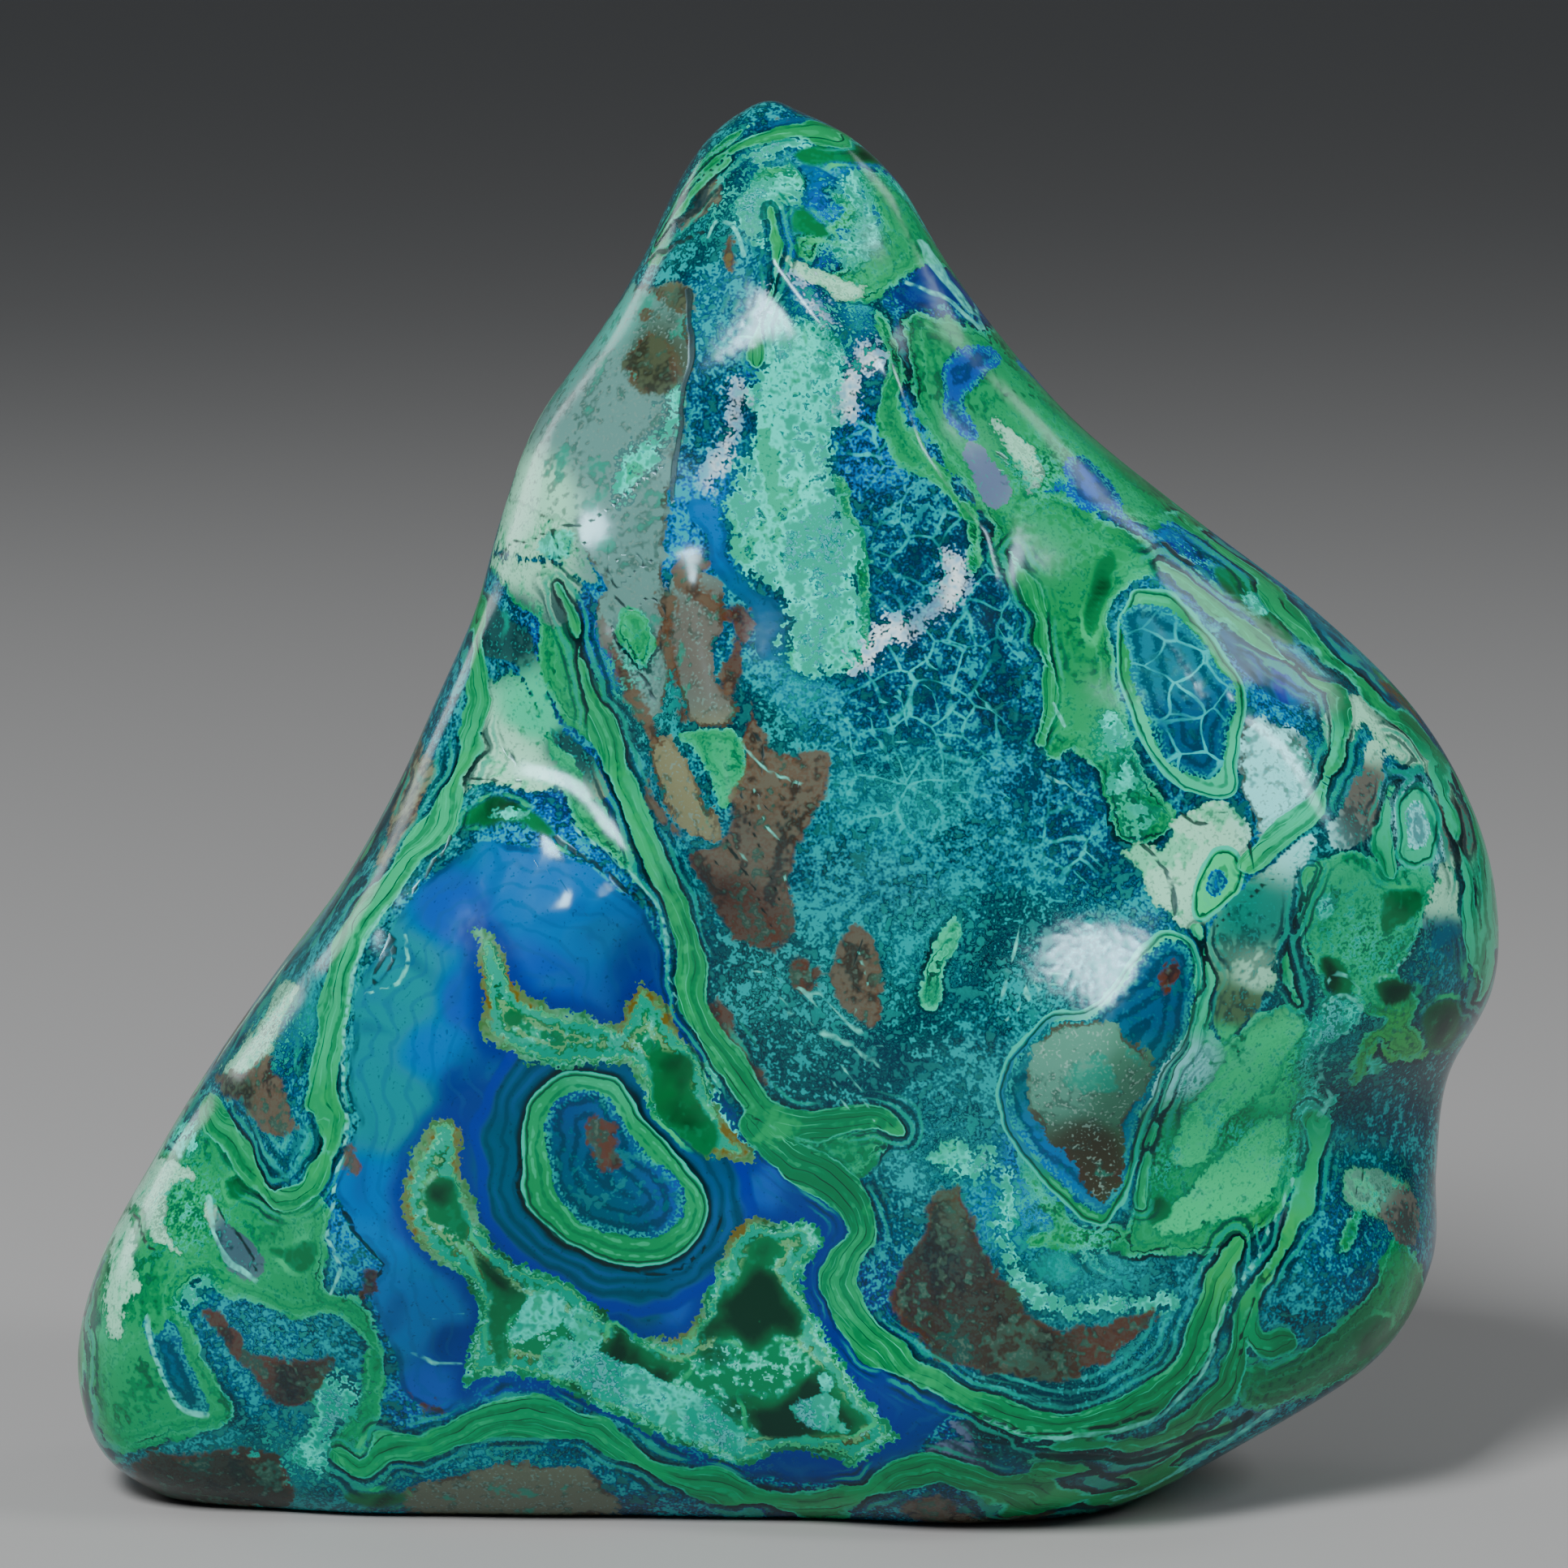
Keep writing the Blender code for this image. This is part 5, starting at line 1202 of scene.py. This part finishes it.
def azurite(rock):
    """Azurite, with a banded halo round the nodule and the green figures in it, and its distance."""
    broad, middling, marble, small, fine = rock.broad, rock.middling, rock.marble, rock.small, rock.fine
    blue = rock.ragged("blue", 0.9, 0.3)
    ring_gap = rock.reading("ring") + middling * 0.9
    gold_gap = rock.reading("gold") + middling * 0.7
    azure = rock.dark_tint.tinted(paint(0, 40, 120), marble.rise(0.03, 0.26) * 0.45)
    azure = azure.tinted(paint(0, 124, 172), (-marble).rise(0.05, 0.22) * 0.4)
    azure = azure.tinted(paint(0, 96, 150), (blue * 3.4 + marble * 16.0).sine().rise(0.5, 1.0) * 0.3)
    azure = azure.tinted(paint(0, 48, 146), gold_gap.rise(1.9, 0.2) * 0.85)
    halo = azure.tinted(paint(0, 90, 120), ring_gap.rise(3.6, 2.6) * 0.85)
    ripple = (ring_gap * 5.4 + marble * 9.0).sine()
    halo = halo.tinted(paint(0, 60, 78), (ripple + small).rise(0.0, 1.0) * 0.5)
    halo = halo.tinted(paint(0, 96, 156), (-ripple).rise(0.2, 1.0) * (0.5 + broad * 3.0))
    halo = halo.tinted(paint(0, 52, 168), ring_gap.band(3.6, 0.25, 0.5) * 0.9)
    halo = halo.tinted(paint(0, 24, 20), ring_gap.rise(0.6, 0.2) * 0.9)
    azure = azure.tinted(halo, ring_gap.rise(4.4, 3.8))
    azure = azure.tinted(paint(0, 44, 60), (fine + small * 0.6).rise(0.22, 0.36) * 0.4)
    azure = azure.tinted(paint(0, 30, 48), blue.band(-0.2, 0.1, 0.3) * (0.2 + middling * 2.0))
    return azure, blue


def malachite(rock):
    """Malachite, with fine bands that follow its edges, and its distance."""
    middling, marble, small = rock.middling, rock.marble, rock.small
    green = rock.ragged("green", 1.4, 0.9, 0.3)
    inner = middling * 1.2 - green
    wave = (inner * 5.0 + marble * 8.0).sine()
    fade = inner.rise(2.6, 0.4)
    body = rock.leaf_tint.tinted(paint(0, 126, 78), (marble + small * 0.9).rise(0.02, 0.18) * 0.6)
    body = body.tinted(paint(0, 78, 50), (rock.coarse + marble * 0.5).rise(0.14, 0.26) * 0.55)
    body = body.tinted(paint(0, 190, 134), (small * 0.9 - marble).rise(0.08, 0.24) * 0.5)
    body = body.tinted(paint(50, 212, 156), wave.rise(0.7, 1.0) * fade * 0.4)
    body = body.tinted(paint(0, 92, 64), (-wave).rise(0.7, 1.0) * fade * 0.4)
    body = body.tinted(paint(0, 64, 52), inner.band(0.5, 0.03, 0.1) * (0.2 + rock.broad * 5.0))
    body = body.tinted(paint(20, 218, 188), inner.rise(0.36, 0.1) * (0.4 + middling * 4.0))
    return body, green


def turquoise_cloud(rock):
    """Fluffy turquoise, streaked upright."""
    streaky, small, fine = rock.streaky, rock.small, rock.fine
    fluff = (small * 1.8 + streaky * 2.0 + 0.5).rise(0.3, 0.7).blend(paint(0, 186, 158), paint(10, 236, 214))
    leafy = (streaky + small * 0.6 + rock.broad * 0.5).rise(0.09, 0.2)
    fluff = fluff.tinted(paint(0, 168, 112), leafy * 0.75)
    fluff = fluff.tinted(paint(0, 92, 108), (small + fine * 0.6 - streaky * 0.7).rise(0.06, 0.2) * 0.8)
    return fluff.tinted(paint(130, 248, 238), (fine + small * 0.6 - streaky).rise(0.17, 0.3) * 0.4)


def cream_leaf(rock):
    """Cream and pale leaf green, finely banded, and its distance."""
    middling, marble, small = rock.middling, rock.marble, rock.small
    pale = rock.ragged("pale", 1.3, 1.2, 0.5)
    wave = (pale * 6.0 + marble * 12.0).sine()
    leafy = (middling + marble + small * 0.9).rise(0.02, 0.2)
    cream = rock.pale_tint.tinted(paint(90, 212, 160), leafy * 0.6)
    cream = cream.tinted(paint(0, 160, 110), (small + middling * 0.6).rise(0.14, 0.28) * 0.55)
    cream = cream.tinted(paint(0, 168, 118), wave.rise(0.8, 1.0) * pale.rise(-1.6, -0.3) * 0.3)
    cream = cream.tinted(paint(0, 168, 118), pale.rise(-0.4, 0.0) * 0.5)
    return cream, pale


def slate(rock):
    """Dusky slate with pale grains."""
    dusk = rock.pale_tint.tinted(paint(10, 44, 52), (rock.coarse + rock.marble).rise(-0.02, 0.18) * 0.6)
    return dusk.tinted(paint(60, 172, 160), (rock.fine + rock.small * 0.7).rise(0.12, 0.28) * 0.5)


def gilded_figure(rock):
    """The green figures, with a gold rim in places, and their distance."""
    broad, middling, marble, small = rock.broad, rock.middling, rock.marble, rock.small
    gold = rock.ragged("gold", 1.2, 1.6, 0.6)
    gilded = rock.reading("gilded")
    inner = middling * 0.9 - gold
    shade = (marble * 0.8 + small * 0.9 + 0.5).rise(0.46, 0.66)
    figure = shade.blend(paint(0, 140, 92), paint(20, 216, 180))
    deep = (broad * 0.7 + marble * 0.8 + small * 0.3).rise(0.0, 0.12)
    figure = figure.tinted(paint(0, 78, 36), deep * 0.85)
    figure = figure.tinted(paint(120, 236, 216), (rock.dust - broad * 0.5).rise(0.14, 0.22) * 0.6)
    figure = figure.tinted(paint(150, 216, 156), inner.band(2.0, 0.08, 0.2) * 0.4)
    figure = figure.tinted(paint(112, 86, 44), inner.band(1.7, 0.03, 0.12) * middling.rise(-0.1, 0.08) * 0.5)
    figure = figure.tinted(paint(24, 178, 150), inner.band(1.2, 0.22, 0.16) * 0.85)
    figure = figure.tinted(paint(96, 210, 150), inner.band(0.74, 0.06, 0.12) * 0.6)
    leafing = (inner + marble * 1.6 + small * 0.6 - gilded * 0.6).rise(0.3, 0.0)
    figure = figure.tinted(paint(90, 220, 176), leafing * (0.4 + small * 3.0))
    figure = figure.tinted(paint(116, 108, 52), leafing * gilded * (0.85 + small * 2.4))
    return figure, gold


def dark_heart(rock):
    """The dark malachite hearts, and their distance."""
    middling, marble, small = rock.middling, rock.marble, rock.small
    dark = rock.ragged("dark", 1.0, 0.5, 0.1)
    heart = (marble * 2.6 - dark * 0.3).rise(0.0, 0.7).blend(paint(0, 124, 76), paint(0, 50, 24))
    heart = heart.tinted(paint(0, 144, 98), (small + middling * 0.5 - marble).rise(0.12, 0.26) * 0.6)
    heart = heart.tinted(paint(10, 118, 66), rock.reading("mossy") * (0.75 - middling * 3.0))
    return heart, dark


def nodule_ring(rock):
    """The banded ring of a nodule, and its distance."""
    small = rock.small
    ring = rock.ragged("ring", 0.5, 0.2)
    inner = rock.middling * 0.6 - ring
    wave = (inner * 5.6 + rock.marble * 6.0).sine()
    hoop = rock.leaf_tint.tinted(paint(0, 118, 74), (wave + small * 2.0).rise(0.4, 1.0) * 0.6)
    hoop = hoop.tinted(paint(40, 212, 158), (small * 2.0 - wave).rise(0.8, 1.1) * 0.5)
    hoop = hoop.tinted(paint(0, 56, 44), inner.band(0.42, 0.03, 0.1) * 0.8)
    hoop = hoop.tinted(paint(80, 214, 186), inner.rise(0.3, 0.14) * 0.85)
    return hoop, ring


def nodule_core(rock, craze, specks):
    """The dark, grained and crazed core of a nodule, and its distance."""
    small, fine = rock.small, rock.fine
    core = rock.ragged("core", 0.7, 0.5, 0.4)
    coils = (core * 4.6 + rock.marble * 12.0 + small).sine()
    rim = core.rise(-0.9, 0.0)
    pool = rock.dark_tint.tinted(paint(0, 52, 72), coils.rise(-0.4, 0.9) * 0.65)
    pool = pool.tinted(paint(0, 44, 60), rock.coarse.rise(0.05, 0.26) * 0.6)
    pool = pool.tinted(paint(34, 160, 164), specks * 0.9)
    pool = pool.tinted(paint(52, 204, 206), craze * 1.2)
    pool = pool.tinted(paint(56, 190, 180), rim * (fine + small * 0.5).rise(-0.06, 0.1) * 0.75)
    return pool, core


def iron_stain(rock):
    """Brown iron stain, streaked and mottled with green, and its distance."""
    streaky, marble, small, fine = rock.streaky, rock.marble, rock.small, rock.fine
    brown = rock.ragged("brown", 2.0, 1.5, 0.5)
    rust = rock.brown_tint.tinted(paint(34, 26, 18), (small * 0.7 + streaky * 0.9).rise(-0.02, 0.14) * 0.75)
    rust = rust.tinted(paint(0, 98, 84), (small * 0.9 - streaky * 0.9 + marble * 0.3).rise(0.07, 0.2) * 0.65)
    rust = rust.tinted(paint(84, 118, 98), (marble + small * 0.9).rise(0.06, 0.2) * 0.5)
    rust = rust.tinted(paint(112, 130, 116), (small + fine * 0.5 - streaky * 0.3).rise(0.14, 0.3) * 0.45)
    rust = rust.tinted(paint(104, 60, 34), brown.rise(-0.6, -0.1) * (0.4 + rock.middling * 2.6))
    return rust, brown


def seam_strand(rock, seam):
    """The green of a seam, with fine lines along it."""
    broad, middling, marble, small = rock.broad, rock.middling, rock.marble, rock.small
    side = rock.reading("side") + middling * 0.5
    along = (side * 4.4 + broad * 8.0 + marble * 2.0).sine()
    hairs = (side * 8.0 + broad * 12.0 - marble * 3.0).sine()
    strand = rock.leaf_tint.tinted(paint(0, 124, 76), (along + small * 2.0).rise(0.1, 1.0) * 0.65)
    strand = strand.tinted(paint(20, 204, 144), (small * 1.6 - along).rise(0.8, 1.1) * (0.4 + marble * 3.0))
    strand = strand.tinted(paint(0, 66, 46), hairs.rise(0.88, 1.0) * (0.6 + middling * 3.0))
    strand = strand.tinted(paint(60, 222, 170), (-hairs).rise(0.9, 1.0) * (0.1 - middling * 3.0))
    strand = strand.tinted(paint(0, 190, 118), (broad - marble * 0.5 + small * 0.4).rise(0.0, 0.16) * 0.6)
    return strand.tinted(paint(10, 214, 176), seam.rise(-0.22, -0.04) * (0.4 + middling * 4.0))


def chalk_and_sheen(rock):
    """Chalky white, partly a painted sheen of light, bluish where it is thin."""
    shade = (rock.small + rock.streaky * 0.6 + 0.5).rise(0.3, 0.7)
    return shade.blend(paint(150, 200, 226), paint(214, 232, 244))


def marked_colour(rock):
    """The colour of the skin: every kind of marking laid over the last, with ragged, grained edges."""
    broad, middling, marble, small, fine = rock.broad, rock.middling, rock.marble, rock.small, rock.fine
    ground, craze, specks = chrysocolla(rock)
    stone, grey = celadon(rock)
    colour = ground.tinted(stone, grey.rise(0.12, -0.12))
    azure, blue = azurite(rock)
    colour = colour.tinted(azure, blue.rise(0.1, -0.1))

    body, green = malachite(rock)
    colour = colour.tinted(paint(0, 42, 46), green.band(0.16, 0.1, 0.16) * (0.35 + broad * 4.0))
    colour = colour.tinted(body, green.rise(0.06, -0.06))
    fluff = turquoise_cloud(rock)
    cloudy = rock.ragged("turquoise", 3.0, 3.4, 1.4)
    colour = colour.tinted(paint(0, 84, 92), cloudy.band(0.3, 0.1, 0.3) * 0.5)
    colour = colour.tinted(fluff, cloudy.rise(0.15, -0.2))
    cream, pale = cream_leaf(rock)
    colour = colour.tinted(paint(0, 92, 74), pale.band(0.1, 0.06, 0.14) * 0.35)
    colour = colour.tinted(cream, pale.rise(0.05, -0.1))

    speckled = rock.reading("speckled")
    speckle = speckled * 0.06
    colour = colour.tinted(paint(70, 222, 196), (rock.dust + speckle).rise(0.1, 0.22) * speckled * 0.75)
    colour = colour.tinted(paint(0, 76, 66), (speckle - rock.dust).rise(0.1, 0.22) * speckled * 0.75)
    peppered = (fine + small * 0.7).rise(0.1, 0.26) * blue.rise(-0.2, 0.4)
    colour = colour.tinted(paint(0, 66, 70), peppered * 0.35)

    colour = colour.tinted(slate(rock), rock.ragged("slate", 1.0, 0.7, 0.4).rise(0.1, -0.12))
    figure, gold = gilded_figure(rock)
    colour = colour.tinted(figure, gold.rise(0.06, -0.06))
    heart, dark = dark_heart(rock)
    colour = colour.tinted(paint(60, 206, 140), dark.band(0.2, 0.1, 0.16) * (0.15 + middling * 4.0))
    colour = colour.tinted(heart, dark.rise(0.14, -0.4))
    colour = colour.tinted(fluff, rock.ragged("isle", 1.2, 0.9, 0.5).rise(0.15, -0.15) * 0.9)

    hoop, ring = nodule_ring(rock)
    colour = colour.tinted(hoop, ring.rise(0.05, -0.05))
    pool, core = nodule_core(rock, craze, specks)
    colour = colour.tinted(pool, core.rise(0.06, -0.06))
    patch = grey + core.rise(-0.2, 0.2) * 9.0
    colour = colour.tinted(stone, patch.rise(0.12, -0.12))
    rust, brown = iron_stain(rock)
    colour = colour.tinted(rust, brown.rise(0.2, -0.3) * 0.92)

    # the seams, and the fainter bands beside them
    seam = rock.ragged("seam", 0.9, 0.3, 0.1) + broad * 3.0
    beside = (seam * 6.5 + marble * 9.0).sine() * seam.rise(2.4, 0.3) * (broad * 5.0 + 0.45)
    colour = colour.tinted(paint(0, 52, 62), beside.rise(0.05, 0.6) * 0.8)
    colour = colour.tinted(paint(24, 176, 150), (-beside).rise(0.1, 0.6) * 0.75)
    colour = colour.tinted(paint(0, 34, 36), seam.band(0.14, 0.06, 0.12) * (0.6 + broad * 3.0))
    colour = colour.tinted(seam_strand(rock, seam), seam.rise(0.04, -0.04))

    # chalky white laid over the colour, partly a painted sheen of light
    bloom_and_sheen = rock.ragged("frost", 2.6, 4.0, 2.0).rise(0.3, -0.5)
    colour = colour.tinted(chalk_and_sheen(rock), bloom_and_sheen * (0.7 + rock.streaky * 2.0))
    vein = rock.ragged("vein", 0.14, 0.08)
    colour = colour.tinted(paint(120, 232, 214), vein.rise(0.09, -0.06) * (0.65 + small * 2.0))
    crack = rock.ragged("crack", 0.22, 0.1)
    return colour.tinted(paint(4, 30, 26), crack.rise(0.08, -0.04) * 0.9), crack, brown


def polished_mineral(look):
    """The polished rock: its markings, duller where it is grained or cracked, and sunk along the cracks."""
    material = bpy.data.materials.new("polished_mineral")
    material.use_nodes = True
    tree = material.node_tree
    tree.nodes.clear()
    rock = Rock(tree)
    colour, crack, brown = marked_colour(rock)
    grained = rock.reading("grained")
    worn = grained * (rock.small * 0.4 + 0.03) + crack.rise(0.1, -0.05) * 0.25 + brown.rise(0.1, -0.2) * 0.06
    pits = rock.grain(SMALL_GRAIN, 0.0, 0.5) * (grained * 0.05 + 0.02)
    height = pits - rock.reading("crack").rise(0.12, -0.08) * 0.06
    normal = add_node(tree, "ShaderNodeBump", {}, {"Strength": 0.5, "Distance": MM, "Height": height})
    surface = add_node(tree, "ShaderNodeBsdfPrincipled", {}, {
        "Base Color": colour, "Roughness": look.polish + worn, "Normal": normal, "IOR": REFRACTION,
        "Specular Tint": GLOSS_TINT})
    add_node(tree, "ShaderNodeOutputMaterial", {}, {0: surface})
    return material


# ---------------------------------------------------------------- add-on

CAMERA_AIM = np.array([-0.4, 0.0, 61.0])
SENSOR = 36.0
LENS = 161.07
FLOOR_REACH = 40.0  # metres from the middle of the floor to its edges
ROOM_COLOUR = (0.9, 0.95, 1.0, 1.0)
ROOM_STRENGTH = 0.1
# Soft boxes, in metres: where each stands, what it faces, and its width and height.
SOFT_BOXES = {
    "key": ((-0.32, -0.66, 0.78), (0.0, 0.0, 0.06), (0.28, 0.36)),
    "side": ((0.66, 0.36, 0.74), (0.03, 0.0, 0.07), (0.2, 0.3)),
    "edge": ((0.738, -0.298, 0.64), (0.0, 0.0, 0.07), (0.16, 0.3)),
    "rim": ((-0.75, 0.55, 0.35), (0.0, 0.0, 0.06), (0.4, 0.4)),
}


class StoneLook(bpy.types.PropertyGroup):
    around: bpy.props.IntProperty(
        name="Faces around", description="Faces round each level section", default=340, min=48, max=340)
    down: bpy.props.IntProperty(
        name="Rings down", description="Rings from the peak to the middle of the base", default=286, min=48,
        max=286)
    polish: bpy.props.FloatProperty(
        name="Polish", description="Roughness of the polished skin", default=0.18, min=0.02, max=0.6)


class StudioLook(bpy.types.PropertyGroup):
    floor: bpy.props.FloatVectorProperty(
        name="Floor", description="Colour of the floor and backdrop", subtype="COLOR",
        default=(0.36, 0.36, 0.36))
    key: bpy.props.FloatProperty(
        name="Key light", description="Power of the soft box at the upper left", default=15.0, min=0.0,
        subtype="POWER", unit="POWER")
    side: bpy.props.FloatProperty(
        name="Side light", description="Power of the soft box at the upper right", default=0.7, min=0.0,
        subtype="POWER", unit="POWER")
    edge: bpy.props.FloatProperty(
        name="Edge light", description="Power of the soft box at the right", default=3.4, min=0.0,
        subtype="POWER", unit="POWER")
    rim: bpy.props.FloatProperty(
        name="Rim light", description="Power of the soft box behind, at the left", default=1.6, min=0.0,
        subtype="POWER", unit="POWER")


class FREEFORM_OT_stone(bpy.types.Operator):
    """Build the polished stone with its markings"""

    bl_idname = "freeform.stone"
    bl_label = "Polished Stone"

    def execute(self, context):
        look = context.scene.freeform_stone
        mesh, points = stone_mesh(look.around, look.down)
        mark(mesh, points)
        mesh.materials.append(polished_mineral(look))
        piece = bpy.data.objects.new("stone_polished", mesh)
        context.scene.collection.objects.link(piece)
        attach(piece, "root")
        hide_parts("stone")
        return {"FINISHED"}


def face(item, place, aim):
    """Stands a lamp or a camera at a place, turned towards a point."""
    item.location = place
    item.rotation_euler = (Vector(aim) - Vector(place)).to_track_quat("-Z", "Y").to_euler()
    bpy.context.scene.collection.objects.link(item)


def plain_floor(colour):
    """A wide matt floor under the stone."""
    sweep = bmesh.new()
    bmesh.ops.create_grid(sweep, x_segments=1, y_segments=1, size=FLOOR_REACH)
    mesh = bpy.data.meshes.new("floor")
    sweep.to_mesh(mesh)
    sweep.free()
    floor = bpy.data.objects.new("floor", mesh)
    bpy.context.scene.collection.objects.link(floor)
    material = bpy.data.materials.new("plain_floor")
    material.use_nodes = True
    surface = material.node_tree.nodes["Principled BSDF"]
    surface.inputs["Base Color"].default_value = (*colour, 1.0)
    surface.inputs["Roughness"].default_value = 0.6
    mesh.materials.append(material)
    return floor


def soft_room():
    """The faint light from all round."""
    world = bpy.data.worlds.new("soft_room")
    world.use_nodes = True
    background = world.node_tree.nodes["Background"]
    background.inputs["Color"].default_value = ROOM_COLOUR
    background.inputs["Strength"].default_value = ROOM_STRENGTH
    return world


def soft_box(name, place, aim, size, power):
    """A rectangular area light that faces a point."""
    light = bpy.data.lights.new(name, "AREA")
    light.shape = "RECTANGLE"
    light.size, light.size_y = size
    light.energy = power
    face(bpy.data.objects.new(name, light), place, aim)


class FREEFORM_OT_studio(bpy.types.Operator):
    """Set up the plain floor, the soft lights and the camera"""

    bl_idname = "freeform.studio"
    bl_label = "Plain Studio"

    def execute(self, context):
        look = context.scene.freeform_studio
        floor = plain_floor(look.floor)
        context.scene.world = soft_room()
        for name, (place, aim, size) in SOFT_BOXES.items():
            soft_box(name, place, aim, size, getattr(look, name))
        camera = bpy.data.objects.new("camera", bpy.data.cameras.new("camera"))
        camera.data.sensor_width = SENSOR
        camera.data.lens = LENS
        camera.data.clip_start = 0.01
        face(camera, (EYE - (*MIDDLE, 0)) * MM, (CAMERA_AIM - (*MIDDLE, 0)) * MM)
        context.scene.camera = camera
        return {"FINISHED"}


class FREEFORM_PT_panel(bpy.types.Panel):
    """Lists the stone and its studio in the 3D view's sidebar"""

    bl_idname = "FREEFORM_PT_panel"
    bl_label = "Freeform Stone"
    bl_space_type = "VIEW_3D"
    bl_region_type = "UI"
    bl_category = "Freeform"

    def draw(self, context):
        column = self.layout.column()
        for name in ("around", "down", "polish"):
            column.prop(context.scene.freeform_stone, name)
        column.operator(FREEFORM_OT_stone.bl_idname)
        for name in ("floor", *SOFT_BOXES):
            column.prop(context.scene.freeform_studio, name)
        column.operator(FREEFORM_OT_studio.bl_idname)


CLASSES = (StoneLook, StudioLook, FREEFORM_OT_stone, FREEFORM_OT_studio, FREEFORM_PT_panel)


def register():
    for item in CLASSES:
        bpy.utils.register_class(item)
    bpy.types.Scene.freeform_stone = bpy.props.PointerProperty(type=StoneLook)
    bpy.types.Scene.freeform_studio = bpy.props.PointerProperty(type=StudioLook)


def unregister():
    del bpy.types.Scene.freeform_studio
    del bpy.types.Scene.freeform_stone
    for item in reversed(CLASSES):
        bpy.utils.unregister_class(item)


def main():
    register()
    bpy.ops.freeform.stone()
    bpy.ops.freeform.studio()


if __name__ == "__main__":
    main()
